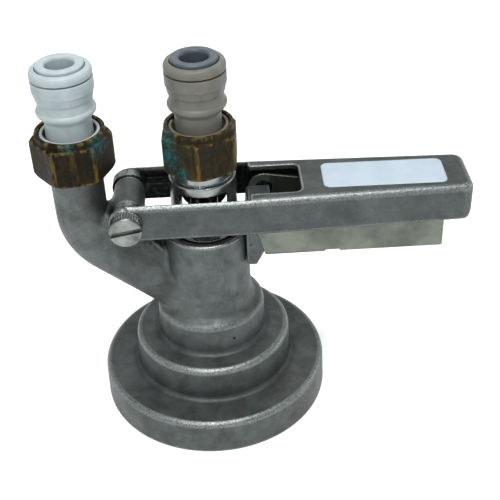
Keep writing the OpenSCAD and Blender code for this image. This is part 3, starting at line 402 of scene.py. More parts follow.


# Blasted cast stainless: 0.5 mm grit marks, 9 mm clouds, brown stains in hollows, tiny gas pits.
# The blasting leaves a dull grey; handling polishes the outer edges, which show as bright grainy lines,
# brightest where they face the lamps in front and above, a painted highlight. Creases, the foot and
# marked corners are darkened by painted shade.
def blasted_steel(name, base, cloud, bright, stain, foot_shade=1.0):
    """Grey base with clouds, brighter and smoother by the edge mark, the brightening strongest where edges
    face the lamps in front and above, a painted highlight; darker by painted shade where the mark is
    below 0 and, by foot_shade, towards the foot; near black by the mark of painted shade."""
    made, tree, shader, spot = stuff(name)
    mark = told(tree, "edge")
    grit = noise(tree, spot, 1900.0, 3.0, 0.62)
    coarse = noise(tree, spot, 620.0, 2.0)
    clouds = noise(tree, spot, 105.0, 4.0, 0.6, 0.4)
    patches = noise(tree, spot, 38.0, 5.0, 0.62)
    tone = blend(tree, span(tree, clouds, 0.36, 0.66), base, cloud)
    # Painted shade: the grit's tone darkens towards the foot, by foot_shade.
    height = add(tree, "ShaderNodeSeparateXYZ", {0: spot}).outputs["Z"]
    speck = calc(tree, "MULTIPLY", span(tree, grit, 0.3, 0.7, 0.86, 1.12),
                 span(tree, height, 0.006, 0.06, foot_shade, 1.0))
    grain = add(tree, "ShaderNodeCombineXYZ", {0: speck, 1: speck, 2: speck})
    tone = blend(tree, 1.0, tone, grain.outputs[0], "MULTIPLY")
    rust = calc(tree, "MULTIPLY", span(tree, patches, 0.58, 0.72, 0.0, 0.75),
                span(tree, mark, 0.25, -0.05, 0.35, 1.0))
    tone = blend(tree, rust, tone, stain)
    # Edges worn bright by handling, and brighter where they face the lamps in front and above: a painted
    # highlight.
    normal = add(tree, "ShaderNodeNewGeometry").outputs["Normal"]
    facing = add(tree, "ShaderNodeVectorMath", {0: normal, 1: (0.0, -0.55, 0.83)}, operation="DOT_PRODUCT")
    wear_and_highlight = calc(tree, "MULTIPLY", span(tree, grit, 0.38, 0.6, 0.2, 1.0),
                  span(tree, facing.outputs["Value"], 0.35, 0.9, 0.12, 1.0))
    tone = blend(tree, calc(tree, "MULTIPLY", span(tree, mark, 0.2, 0.55), wear_and_highlight), tone, bright)
    # Painted shade: creases, where the edge mark is below 0, go darker.
    tone = blend(tree, span(tree, mark, -0.08, -0.6, 0.0, 0.5), tone, "#24282a")
    cells = add(tree, "ShaderNodeTexVoronoi", {"Vector": spot, "Scale": 120.0, "Randomness": 1.0})
    chance = add(tree, "ShaderNodeSeparateColor", {0: cells.outputs["Color"]}).outputs[0]
    pit = calc(tree, "LESS_THAN", cells.outputs["Distance"], span(tree, chance, 0.82, 1.0, 0.0, 0.075))
    tone = blend(tree, pit, tone, "#121414")
    # Painted shade: near black where the mark of shade in corners, the bore and the lever's inside is high.
    soot = calc(tree, "MULTIPLY", told(tree, "soot"), span(tree, coarse, 0.35, 0.55, 0.72, 0.97))
    tone = blend(tree, soot, tone, "#0e1010")
    rough = calc(tree, "SUBTRACT", span(tree, coarse, 0.3, 0.7, 0.46, 0.58),
                 span(tree, mark, 0.1, 0.5, 0.0, 0.12))
    plug(tree, shader, {"Base Color": tone, "Metallic": 0.8, "Roughness": rough})
    relief(tree, shader, 0.42, 0.00022, calc(tree, "SUBTRACT", calc(tree, "ADD", grit, coarse), pit))
    return made


body_steel = blasted_steel("cast_stainless_body", "#686d6c", "#4d5251", "#9aa09e", "#463c32", 0.72)
point, faces, normal, bend = net(casting, (-57, -45.4, -1.4), (46, 45.4, 113), 0.74)
# Painted shade blackens the corner of the web against the tower, and the tower's bore.
radius = np.hypot(point[:, 0], point[:, 1])
web_shade_x, web_shade_z, web_shade_long, web_shade_high, web_shade_r = -20, 74, 7, 6.5, 15.2
bore_shade_r, bore_shade_z, bore_fade_r, bore_fade_z = 13.4, 40, 0.8, 10
web_soot = np.exp(-((point[:, 0] - web_shade_x) / web_shade_long) ** 2
                  - ((point[:, 2] - web_shade_z) / web_shade_high) ** 2) * (radius > web_shade_r)
bore_soot = (np.clip((bore_shade_r - radius) / bore_fade_r, 0, 1)
             * np.clip((point[:, 2] - bore_shade_z) / bore_fade_z, 0, 1))
body = skin("body_casting", point, faces, body_steel, normal, edge=np.clip(bend, -1, 1),
            soot=np.maximum(web_soot, bore_soot))
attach(body, "housing")
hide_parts("coupler_body")


# Lever: a fork, driving lobes, hinge stubs and an inverted channel, one casting of the same steel.
# It is the most handled piece, so its top edges are the brightest, worn and with a painted highlight;
# painted shade blackens its inside.
lever_top, lever_low, roof_z = 92.9, 78.9, 90.9
lever_tip, taper_x, fork_half, tip_half = 96.5, 15.95, 14.9, 12.0
side_wall, tip_wall, arm_in, arm_top_in, arm_end_x, rib_z, rib_h = 1.75, 2.3, 9.11, 13.1, 12.5, 85.3, 5.4
eye_r, lobe_r, lobe_z, stub_r, stub_from, hinge_x, hinge_z = 6.4, 9, 84.7, 3.1, 8.55, 22.3, 84
pocket_from, pocket_to, pocket_half, pocket_low, spring_x = 15.95, 35, 9.4, 86, 46.3
plan_round, tip_round, mouth_x, mouth_half, dome_r, dome_low = 4.0, 3, 14.4, 2.2, 3.15, 89
edge_round, top_round, top_from, top_rise, well_inside = 0.5, 1.9, 87, 4, -10
fork_over, lobe_over, stub_over, dome_over = 0.5, 1, 1, 0.5
unshaded_side, unshaded_top, unshaded_tip, fade_side, fade_top = 1.0, 1.2, 1.5, 0.6, 0.8


def lever_half(x):
    """Half the lever's width: level over the fork, then tapering to the tip."""
    return fork_half + (tip_half - fork_half) * np.clip((x - taper_x) / (lever_tip - taper_x), 0, 2)


def lever_casting(x, y, z):
    """Signed distance of the lever: its plan and side outlines, less the channel, the fork with a rib
    along each arm and the pocket, with the lobes, the stubs and the spring's dome added."""
    wide, across = lever_half(x), np.abs(y)
    plan = edged(across - wide, x - lever_tip, plan_round)
    arm = np.maximum(np.maximum(z - lever_top, lever_low - z), pivot_x - x)
    past, under = x - lever_tip + tip_round, lever_low + tip_round - z
    foot = np.hypot(np.maximum(past, 0), np.maximum(under, 0)) - tip_round
    arm = np.maximum(arm, np.where((past > 0) & (under > 0), foot, well_inside))
    from_pivot = np.hypot(x - pivot_x, z - pivot_z)
    rounding = edge_round + top_round * np.clip((z - top_from) / top_rise, 0, 1)
    form = edged(plan, soft_min(arm, from_pivot - eye_r, 0.6), rounding)
    channel = edged(edged(across - wide + side_wall, x - lever_tip + tip_wall, 2.5), z - roof_z, 0.9)
    channel = np.maximum(channel, arm_end_x - x)
    fork = np.maximum(across - arm_in, x - arm_end_x - fork_over)
    thin = np.maximum(np.maximum(across - arm_top_in, x - arm_end_x - fork_over), eye_r - from_pivot)
    thin = np.maximum(thin, rib_h / 2 - np.abs(z - rib_z))
    middle = (pocket_from + pocket_to) / 2
    pocket = edged(across - pocket_half, np.abs(x - middle) - (pocket_to - middle), 2.5)
    mouth = np.maximum(across - arm_top_in, np.abs(x - mouth_x) - mouth_half)
    pocket = np.maximum(soft_min(pocket, mouth, 2.0), pocket_low - z)
    form = edged(form, -np.minimum(np.minimum(channel, fork), np.minimum(thin, pocket)), 0.35)
    lobe = np.maximum(np.hypot(x, z - lobe_z) - lobe_r, z - lobe_z - lobe_over)
    lobe = edged(lobe, np.abs(across - (arm_in + arm_top_in) / 2) - (arm_top_in - arm_in) / 2, 0.4)
    form = soft_min(form, lobe, 0.8)
    stub = np.hypot(x - hinge_x, z - hinge_z) - stub_r
    form = soft_min(form, edged(stub, np.maximum(stub_from - across, across - wide + stub_over), 0.4), 0.5)
    dome = edged(np.hypot(x - spring_x, y) - dome_r, np.maximum(dome_low - z, z - roof_z - dome_over), 0.6)
    form = soft_min(form, dome, 0.5)
    return edged(form, bolt_bore_r - from_pivot, 0.3)


lever_steel = blasted_steel("cast_stainless_lever", "#585d5c", "#474c4b", "#959a99", "#433a31")
point, faces, normal, bend = net(lever_casting, (-34.6, -15.7, 73.9), (97.3, 15.7, 93.8), 0.46)
# Painted shade: the lever's inside, away from its sides, top and tip, is marked to go near black.
inside = (np.clip((lever_half(point[:, 0]) - unshaded_side - np.abs(point[:, 1])) / fade_side, 0, 1)
          * np.clip((lever_top - unshaded_top - point[:, 2]) / fade_top, 0, 1)
          * np.clip((lever_tip - unshaded_tip - point[:, 0]) / fade_side, 0, 1))
lever = skin("lever_casting", point, faces, lever_steel, normal, edge=np.clip(bend * 1.1, -1, 1), soot=inside)
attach(lever, "handle")
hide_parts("lever")


# Probe sleeve: bar stock turned to a piston, a ring and a threaded stem, with two windows milled
# through for the lever's lobes. Turning leaves fine rings and a bright sheen.
sleeve_r, window_half, window_low, window_high, ring_top = 12.07, 8.3, 75.3, 93.6, 97.3
neck_r, neck_z, neck_half, core_r, core_in = 10.6, 99, 4, 5, 3.5
sleeve_foot, sleeve_nut_z, sleeve_top = 57, 101.3, 111.6


def sleeve_form(x, y, z):
    """Signed distance of the sleeve: turned steps, less the windows about the core and the beer way."""
    r = np.hypot(x, y)
    ring = edged(r - sleeve_r, np.maximum(z - ring_top, sleeve_foot - z), 0.7)
    stem = edged(r - stem_r, np.maximum(z - sleeve_top, sleeve_nut_z - z), 0.5)
    form = np.minimum(np.minimum(ring, stem), np.maximum(r - neck_r, np.abs(z - neck_z) - neck_half))
    window = edged(np.abs(x) - window_half, np.maximum(z - window_high, window_low - z), 0.5)
    window = np.maximum(window, core_r - r)
    form = edged(form, -window, 0.3)
    return edged(form, core_in - r, 0.3)


def turned_steel(name, base, dark, rough_low, rough_high):
    """Bright steel with fine turning rings about Z and soft smears of oil and wear."""
    made, tree, shader, spot = stuff(name)
    rise = add(tree, "ShaderNodeSeparateXYZ", {0: spot}).outputs["Z"]
    radius = add(tree, "ShaderNodeVectorMath", {0: spot, 1: (1.0, 1.0, 0.0)}, operation="MULTIPLY")
    radius = add(tree, "ShaderNodeVectorMath", {0: radius.outputs[0]}, operation="LENGTH").outputs["Value"]
    travel = calc(tree, "ADD", rise, radius)
    lines = add(tree, "ShaderNodeTexNoise", {"W": travel, "Scale": 1500.0, "Detail": 2.0},
                noise_dimensions="1D")
    smear = noise(tree, spot, 170.0, 4.0, 0.6)
    tone = blend(tree, span(tree, smear, 0.4, 0.7), base, dark)
    rough = span(tree, smear, 0.35, 0.7, rough_low, rough_high)
    plug(tree, shader, {"Base Color": tone, "Metallic": 1.0, "Roughness": rough})
    relief(tree, shader, 0.2, 0.00006, lines.outputs["Fac"])
    return made


sleeve_steel = turned_steel("turned_stainless", "#8f9392", "#6c7070", 0.24, 0.4)
point, faces, normal, _ = net(sleeve_form, (-12.6, -12.6, 56.5), (12.6, 12.6, 112.1), 0.36)
sleeve = skin("windowed_sleeve", point, faces, sleeve_steel, normal)
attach(sleeve, "probe")
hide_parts("probe_sleeve")


def finish_node(name, finish):
    """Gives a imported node, whose shape is right as it is, a material of this file."""
    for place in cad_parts[name].material_slots:
        place.link = "OBJECT"
        place.material = finish


for name in ("probe_tube", "probe_tip"):
    finish_node(name, sleeve_steel)


# Pivot bolt: a turned shank and a round head with a knurl along it and a sawn slot across its face.
# It is plain turned steel, a little brighter than the castings.
bolt_r, shank_y, shank_half, head_r, head_from, head_to = 3.5, -0.6, 15.4, 5.8, -14.95, -20.55
knurl_count, knurl_deep, knurl_margin, knurl_start, knurl_fade = 34, 0.45, 1, 0.5, 0.3
slot_half, slot_deep, slot_turn = 0.8, 1.6, math.radians(10)


def bolt_form(x, y, z):
    """Signed distance of the bolt: shank and head along Y, less the slot and the knurl's grooves."""
    u, v = x - pivot_x, z - pivot_z
    r = np.hypot(u, v)
    groove = np.abs(np.sin(np.arctan2(v, u) * knurl_count / 2))
    band = np.clip(np.minimum(y - head_to - knurl_margin, head_from - knurl_start - y) / knurl_fade, 0, 1)
    head = edged(r - head_r + knurl_deep * band * (1 - groove),
                 np.abs(y - (head_from + head_to) / 2) - (head_from - head_to) / 2, 0.5)
    shank = edged(r - bolt_r, np.abs(y - shank_y) - shank_half, 0.4)
    sawn = v * math.cos(slot_turn) - u * math.sin(slot_turn)
    slot = np.maximum(np.abs(sawn) - slot_half, y - head_to - slot_deep)
    return edged(np.minimum(head, shank), -slot, 0.15)


bolt_steel = turned_steel("turned_bolt", "#8d908d", "#5b5e5c", 0.3, 0.46)
point, faces, normal, _ = net(bolt_form, (-33.9, -21, 79.9), (-21.1, 15.2, 92.7), 0.22)
bolt = skin("pivot_screw", point, faces, bolt_steel, normal)
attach(bolt, "handle")
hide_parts("pivot_bolt")


# Trigger: 1.2 mm stainless sheet folded to a channel, hung on the lever's stubs and notched across
# its web under the spring. Rolled sheet is smoother and a little warmer than the castings.
trigger_tip, tip_corner, tip_corner_z, trigger_half, foot_bevel, top_turn, ear_turn = (
    86.9, 3, 76.49, 9.4, 0.6, 80, 190)
sheet_t, web_z, bend_round, ear_r, ear_back, ear_z = 1.2, 65.4, 1.5, 6, 3.72, 10.23
stub_way_r, notch_in, notch_half, notch_h, notch_slope = 3.15, 5.4, 2.4, 1.3, 0.4


def arc_points(u, v, radius, start, end, steps=8):
    """Points along an arc about (u, v), its angles in degrees."""
    turn = np.radians(np.linspace(start, end, steps + 1))
    return list(zip(u + radius * np.cos(turn), v + radius * np.sin(turn)))


cheek = ([(hinge_x - foot_bevel, web_z), (trigger_tip - foot_bevel, web_z),
          (trigger_tip, web_z + foot_bevel)]
         + arc_points(trigger_tip - tip_corner, tip_corner_z, tip_corner, 0, top_turn)
         + arc_points(hinge_x, hinge_z, ear_r, top_turn, ear_turn, 16)
         + [(hinge_x - ear_back, web_z + ear_z)])


def trigger_form(x, y, z):
    """Signed distance of the trigger: its side outline, hollowed to a sheet with rounded bends."""
    across = np.abs(y)
    form = edged(edged(outline(x, z, cheek), across - trigger_half, 0.2), web_z - z, 0.2)
    form = np.maximum(form, edged(across - trigger_half, web_z - z, bend_round))
    hollow = edged(across - trigger_half + sheet_t, web_z + sheet_t - z, 0.5)
    open_end = np.maximum(across - trigger_half + sheet_t, x - hinge_x)
    form = edged(form, -np.minimum(hollow, open_end), 0.15)
    form = edged(form, stub_way_r - np.hypot(x - hinge_x, z - hinge_z), 0.15)
    above = z - web_z - notch_h
    notch = np.maximum(np.abs(x - spring_x) - notch_half + notch_slope * above, above)
    return edged(form, -np.maximum(notch, notch_in - across), 0.15)


sheet_steel, tree, shader, spot = stuff("rolled_stainless_sheet")
brush = add(tree, "ShaderNodeMapping", {"Vector": spot, "Scale": (60.0, 900.0, 900.0)})
lines = noise(tree, brush.outputs[0], 1.0, 3.0)
smudge = noise(tree, spot, 75.0, 5.0, 0.62)
fleck = noise(tree, spot, 420.0, 2.0)
tone = blend(tree, span(tree, smudge, 0.4, 0.68), "#74786f", "#5c6059")
tone = blend(tree, span(tree, fleck, 0.68, 0.74, 0.0, 0.6), tone, "#4c4a42")
rough = span(tree, smudge, 0.35, 0.7, 0.36, 0.5)
plug(tree, shader, {"Base Color": tone, "Metallic": 0.95, "Roughness": rough})
relief(tree, shader, 0.15, 0.00008, lines)

point, faces, normal, _ = net(trigger_form, (15.2, -10, 64.8), (87.6, 10, 90.6), 0.4)
trigger = skin("trigger_sheet", point, faces, sheet_steel, normal)
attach(trigger, "trigger")
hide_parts("trigger")


# Latch block: a small casting riveted between the trigger's cheeks, hollowed to the tower's round and
# hooked under the tower's nose. It is of the lever's blasted steel, a little less bright at its edges.
block_half, hollow_r, hook_half, rivet_x, rivet_z, rivet_way_r = 8.15, 16.3, 4.4, 20.2, 78.6, 1.55
block_side = [(15.4, 60.8), (18.3, 60.8), (21.1, 66.25), (21.1, 66.65), (24.3, 66.65), (24.3, 85.5),
              (16.2, 85.5), (15.4, 84.7), (14.6, 73.15), (14.6, 61.6)]
hook_side = [(0.0, 61.6), (15.9, 60.8), (18.6, 67.6), (18.6, 70.9), (15.95, 73.9), (0.0, 73.9)]


def block_form(x, y, z):
    """Signed distance of the block: its side outline between the cheeks, less the hollow and hook."""
    form = edged(outline(x, z, block_side), np.abs(y) - block_half, 0.5)
    hollow = np.maximum(np.hypot(x, y) - hollow_r, z - rim_z - 1)
    hook = np.maximum(outline(x, z, hook_side), np.abs(y) - hook_half)
    form = edged(form, -np.minimum(hollow, hook), 0.25)
    return edged(form, rivet_way_r - np.hypot(x - rivet_x, z - rivet_z), 0.15)


block_steel = blasted_steel("cast_stainless_latch", "#5e6362", "#4f5453", "#868b8a", "#443b33")
point, faces, normal, bend = net(block_form, (13.8, -8.7, 60.2), (25, 8.7, 86.1), 0.3)
block = skin("latch_casting", point, faces, block_steel, normal, edge=np.clip(bend * 0.6, -1, 1))
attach(block, "trigger")
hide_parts("latch_block")
finish_node("latch_rivet", bolt_steel)


# Latch spring: eight turns of 1 mm stainless wire from the trigger's web to the lever's roof.
wire_r, coil_r, coil_turns, turn_steps, coil_low, coil_high, coil_kept = 0.5, 4.0, 8, 40, 66.65, 90.45, 0.81


def swept(path, frame_u, frame_v, radius, sides):
    """A round tube: each path point carries a circle of the radius in its plane of frame_u and frame_v,
    and each end is closed by a fan about its middle point."""
    turn = 2 * np.pi * np.arange(sides) / sides
    ring = np.cos(turn)[None, :, None] * frame_u[:, None] + np.sin(turn)[None, :, None] * frame_v[:, None]
    point = np.concatenate([(path[:, None] + radius * ring).reshape(-1, 3), path[:1], path[-1:]])
    i, j = np.meshgrid(np.arange(len(path) - 1), np.arange(sides), indexing="ij")
    a, b = i * sides + j, i * sides + (j + 1) % sides
    wall = np.stack([a, b, b + sides, a + sides], -1).reshape(-1, 4)
    j = np.arange(sides)
    first = np.stack([(j + 1) % sides, j, np.full(sides, len(path) * sides)], 1)
    last = np.stack([j, (j + 1) % sides, np.full(sides, len(path) * sides + 1)], 1)
    last[:, :2] += (len(path) - 1) * sides
    return point, wall.tolist() + first.tolist() + last.tolist()


share = np.linspace(0, 1, coil_turns * turn_steps + 1)
turn = 2 * np.pi * coil_turns * share
rise = np.interp(share, (0, 0.125, 0.875, 1), (0, 0.075, 0.925, 1))
axis = np.stack([np.cos(turn), np.sin(turn), np.zeros_like(turn)], 1)
path = coil_r * axis
path[:, 0] += spring_x
path[:, 2] = coil_low + wire_r + (coil_high - coil_low - 2 * wire_r) * rise
ahead = np.gradient(path, axis=0)
ahead /= np.linalg.norm(ahead, axis=1)[:, None]
point, faces = swept(path, axis, np.cross(ahead, axis), wire_r, 12)
spring_wire = turned_steel("spring_wire", "#9b9f9e", "#7b7f7e", 0.2, 0.32)
coil = skin("latch_coil", point, faces, spring_wire)
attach(coil, "handle")
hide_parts("latch_spring")
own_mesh(coil)


# Union nuts: hot-pressed brass hexagons with a round collar, gone dark brown with age, worn golden
# along the corners and green with verdigris where drips dried.
nut_flats, nut_h, cone_slope, cone_out, nut_bore_r = 25.4, 13.8, 1.15, 0.75, 11.25
collar_r, collar_h, collar_root, collar_wall, lip_in, lip_from, lip_h = 12.3, 2.5, 4, 1.5, 8.55, 13.6, 1.2
box_half, box_below, box_above = 15.2, 0.6, 16.9
nuts = {
    "gas": {"axis_x": elbow_x, "foot": gas_nut_z, "turn": math.radians(8)},
    "beer": {"axis_x": 0.0, "foot": sleeve_nut_z, "turn": math.radians(26.6)},
}


def nut_form(axis_x, foot, turn):
    """Signed distance of a nut: a hexagon cut by a cone at each end, a collar, less the bore and lip."""
    def form(x, y, z):
        u, w = x - axis_x, z - foot
        r, around = np.hypot(u, y), np.arctan2(y, u) - turn
        face = np.mod(around, np.pi / 3) - np.pi / 6
        next_face = r * np.cos(np.pi / 3 - np.abs(face)) - nut_flats / 2
        hexagon = edged(r * np.cos(face) - nut_flats / 2, next_face, 0.6)
        beyond = np.abs(w - nut_h / 2) - nut_h / 2
        cone = (r - nut_flats / 2 - cone_out + cone_slope * beyond) / math.hypot(1, cone_slope)
        hexagon = edged(edged(hexagon, cone, 0.2), beyond, 0.25)
        collar = edged(r - collar_r, np.maximum(w - nut_h - collar_h, collar_root - w), 0.45)
        bore = np.minimum(np.maximum(r - nut_bore_r, w - lip_from), r - lip_in)
        bore = np.minimum(bore, np.maximum(r - collar_r + collar_wall, lip_from + lip_h - w))
        return edged(soft_min(hexagon, collar, 0.5), -bore, 0.25)
    return form


def old_brass(name, spots, wash):
    """Brown oxide over brass: golden where the edge mark or scratches bare it, with blue-green crust
    in patches, each a soft ball about a place on the nut, broken up by noise."""
    made, tree, shader, spot = stuff(name)
    broad = noise(tree, spot, 150.0, 5.0, 0.62, 0.8)
    fine = noise(tree, spot, 780.0, 4.0, 0.66)
    drawn = add(tree, "ShaderNodeMapping", {"Vector": spot, "Scale": (420.0, 420.0, 95.0)})
    streak = noise(tree, drawn.outputs[0], 1.0, 4.0, 0.6)
    tone = blend(tree, span(tree, fine, 0.42, 0.75, 0.0, 0.7), ramp(tree, broad, wash), "#0e0c08")
    bare = calc(tree, "MULTIPLY", span(tree, told(tree, "edge"), 0.03, 0.3, 0.06, 0.55),
                span(tree, streak, 0.46, 0.62))
    tone = blend(tree, bare, tone, "#7c662b")
    crust = 0.0
    for place, reach in spots:
        centre = tuple(v * metre for v in place)
        away = add(tree, "ShaderNodeVectorMath", {0: spot, 1: centre}, operation="DISTANCE")
        near = span(tree, away.outputs["Value"], reach * metre, 0.2 * reach * metre)
        crust = calc(tree, "MAXIMUM", crust, near)
    crust = calc(tree, "MULTIPLY", crust, span(tree, calc(tree, "ADD", fine, broad), 0.82, 1.12))
    green = ramp(tree, fine, [(0.3, "#11302f"), (0.5, "#1d484a"), (0.7, "#3b6d6b")])
    rough = calc(tree, "MAXIMUM", span(tree, broad, 0.35, 0.65, 0.4, 0.62), crust)
    plug(tree, shader, {"Base Color": blend(tree, crust, tone, green), "Metallic": 0.05,
                        "Specular IOR Level": 0.1, "Roughness": rough})
    relief(tree, shader, 0.5, 0.00025, calc(tree, "ADD", fine, crust))
    return made


crusts = {
    "gas": ([((elbow_x + 0.5, -12, 116.5), 3.4), ((elbow_x + 10, -8, 114.5), 5.5)],
            [(0.3, "#1b1910"), (0.5, "#151009"), (0.62, "#2b200d"), (0.7, "#4a3a14")]),
    "beer": ([((-11, -8, 108), 7.5), ((-11, -7, 115), 5), ((-6, -11, 103), 4)],
             [(0.3, "#29261a"), (0.5, "#242013"), (0.66, "#3a2a12"), (0.74, "#38331d")]),
}
for which, plan in nuts.items():
    brass = old_brass("aged_brass_" + which, *crusts[which])
    axis_x, foot = plan["axis_x"], plan["foot"]
    low = (axis_x - box_half, -box_half, foot - box_below)
    high = (axis_x + box_half, box_half, foot + box_above)
    point, faces, normal, bend = net(nut_form(**plan), low, high, 0.36)
    nut = skin(which + "_union_nut", point, faces, brass, normal, edge=np.clip(bend * 0.5, -1, 1))
    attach(nut, {"gas": "housing", "beer": "probe"}[which])
    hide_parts(which + "_nut")


# Push-fit tube fittings: acetal bodies with a bead and a waist, caps pressed in over them, collets
# that slide in the caps, and an open clip ring in each nut's collar. White on the gas side, grey on
# the beer side with a slate collet.
def rounded(corners, radius, steps=4):
    """A closed outline with rounded corners: each is cut back along both its edges by the radius, or by
    0.45 of the shorter edge if that is less, and a quadratic curve joins the two cuts."""
    corners = np.array(corners, float)
    before, after = np.roll(corners, 1, 0) - corners, np.roll(corners, -1, 0) - corners
    long_before, long_after = np.linalg.norm(before, axis=1), np.linalg.norm(after, axis=1)
    trim = np.minimum(radius, 0.45 * np.minimum(long_before, long_after))[:, None]
    start = corners + before / long_before[:, None] * trim
    end = corners + after / long_after[:, None] * trim
    t = np.linspace(0, 1, steps)[None, :, None]
    curve = (1 - t) ** 2 * start[:, None] + 2 * t * (1 - t) * corners[:, None] + t ** 2 * end[:, None]
    return curve.reshape(-1, 2)


def turned(profile, axis_x, foot, sides=144, lift=None):
    """A closed outline of radius and height carried round an upright axis. lift, if given, adds to the
    radius by angle and height."""
    turn = 2 * np.pi * np.arange(sides) / sides
    r, z = profile[:, :1] * np.ones((1, sides)), profile[:, 1:]
    if lift is not None:
        r = r + lift(r, turn[None, :], z)
    point = np.stack([axis_x + r * np.cos(turn), r * np.sin(turn), foot + z + 0 * r], -1).reshape(-1, 3)
    i, j = np.meshgrid(np.arange(len(profile)), np.arange(sides), indexing="ij")
    ahead, beside = (i + 1) % len(profile), (j + 1) % sides
    faces = np.stack([i * sides + j, i * sides + beside, ahead * sides + beside, ahead * sides + j], -1)
    faces = faces.reshape(-1, 4)
    area = np.sum(profile[:, 0] * np.roll(profile[:, 1], -1) - np.roll(profile[:, 0], -1) * profile[:, 1])
    return point, faces if area > 0 else faces[:, ::-1]


def acetal(name, base, shade_code, rough):
    """Moulded acetal: nearly even colour, a faint satin mottle, and specks of dirt."""
    made, tree, shader, spot = stuff(name)
    mottle = noise(tree, spot, 240.0, 4.0, 0.6)
    speck = noise(tree, spot, 900.0, 1.0)
    tone = blend(tree, span(tree, mottle, 0.35, 0.7), base, shade_code)
    tone = blend(tree, span(tree, speck, 0.8, 0.84, 0.0, 0.8), tone, "#3a3a36")
    plug(tree, shader, {"Base Color": tone, "IOR": 1.48,
                        "Roughness": span(tree, mottle, 0.3, 0.7, rough, rough + 0.12)})
    relief(tree, shader, 0.08, 0.0001, mottle)
    return made


white_acetal = acetal("white_acetal", "#a9b4b6", "#9aa6a8", 0.36)
grey_acetal = acetal("grey_acetal", "#6a6961", "#605f57", 0.4)
slate_acetal = acetal("slate_acetal", "#485157", "#40494f", 0.34)

# Outlines of radius and height over the nut's foot.
neck_in, flange_z, flange_top, socket_in, shell_r = 3.5, 11.55, 13.55, 8.8, 10.65
body_outline = [(neck_in, flange_z), (10.9, flange_z), (10.9, flange_top), (8.35, flange_top), (8.2, 18.3),
                (8.05, 20.8), (8.85, 22.3), (9.45, 22.4), (10.2, 23.2), (10.45, 24.0), (10.3, 24.7),
                (9.65, 25.3), (9.5, 27.9), (9.5, 28.35), (9.95, 28.8), (10.35, 31.1), (shell_r, 31.7),
                (shell_r, 36.0), (socket_in, 36.0), (socket_in, 28.6), (7.05, 28.6), (7.05, 26.4),
                (4.9, 26.4), (4.9, 19.0), (neck_in, 19.0)]
cap_outline = [(6.8, 32.0), (8.75, 32.0), (8.75, 36.6), (shell_r, 36.6), (shell_r, 38.2), (10.2, 39.3),
               (9.05, 39.8), (8.45, 39.8), (8.45, 37.7), (6.8, 37.7)]
collet_outline = [(4.9, 33.95), (6.45, 33.95), (6.45, 39.15), (8.2, 39.15), (8.2, 40.55), (7.9, 40.85),
                  (5.5, 40.85), (5.2, 40.55), (4.9, 39.95)]

# A moulded mark on the grey body, and the clip rings.
mark_h, mark_turn, mark_z, mark_half, mark_slope, mark_line = 0.22, math.radians(80), 31.0, 3.4, 0.8, 0.45
mark_rows, wall_low, wall_high, wall_margin = 22, 31.9, 35.6, 0.1
mark_from_r, mark_low, mark_high = 9.9, 28.9, 35.2
clip_r, clip_z, clip_half, clip_thick, clip_sweep = 9.95, 15.35, 1.25, 0.5, math.radians(300)
clip_start = {"gas": math.radians(120), "beer": math.radians(160)}


def arrow_mark(r, turn, z):
    """A shallow raised V on the body's front: a ridge of Gaussian section along two sloping lines."""
    side = np.abs(np.angle(np.exp(1j * (turn + mark_turn)))) * shell_r
    ridge = mark_h * np.exp(-((z - mark_z - mark_slope * side) / mark_line) ** 2)
    return np.where((r > mark_from_r) & (side < mark_half), ridge, 0.0) * (z > mark_low) * (z < mark_high)


# The marked body has more rows up its wall, and both have their corners rounded.
plain_body = rounded(body_outline, 0.35)
wall = np.stack([np.full(mark_rows, shell_r), np.linspace(wall_low, wall_high, mark_rows)], 1)
below = int(np.argmax(plain_body[:, 1] > wall_low - wall_margin))
above = int(np.argmax(plain_body[:, 1] > wall_high - wall_margin))
marked_body = np.concatenate([plain_body[:below], wall, plain_body[above:]])
for which, plan in nuts.items():
    axis_x, foot = plan["axis_x"], plan["foot"]
    shell, ring_body = {"gas": (white_acetal, "housing"), "beer": (grey_acetal, "probe")}[which]
    profile, around, mark = {"gas": (plain_body, 160, None), "beer": (marked_body, 240, arrow_mark)}[which]
    point, faces = turned(profile, axis_x, foot, around, mark)
    fitting = skin(which + "_push_fitting", point, faces, shell)
    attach(fitting, ring_body)
    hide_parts(which + "_fitting")
    point, faces = turned(rounded(cap_outline, 0.3), axis_x, foot)
    cap = skin(which + "_push_cap", point, faces, shell)
    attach(cap, ring_body)
    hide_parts(which + "_cap")
    point, faces = turned(rounded(collet_outline, 0.35), axis_x, foot)
    collet = skin(which + "_push_collet", point, faces, {"gas": white_acetal, "beer": slate_acetal}[which])
    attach(collet, which + "_collet")
    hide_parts(which + "_collet")
    turn = np.linspace(clip_start[which], clip_start[which] + clip_sweep, 121)
    outward = np.stack([np.cos(turn), np.sin(turn), 0 * turn], 1)
    path = clip_r * outward + np.array([axis_x, 0, foot + clip_z])
    upward = np.tile([0.0, 0.0, 1.0], (len(turn), 1))
    point, faces = swept(path, outward * clip_half, upward, clip_thick, 12)
    clip = skin(which + "_open_clip", point, faces, shell)
    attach(clip, ring_body)
    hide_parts(which + "_clip")


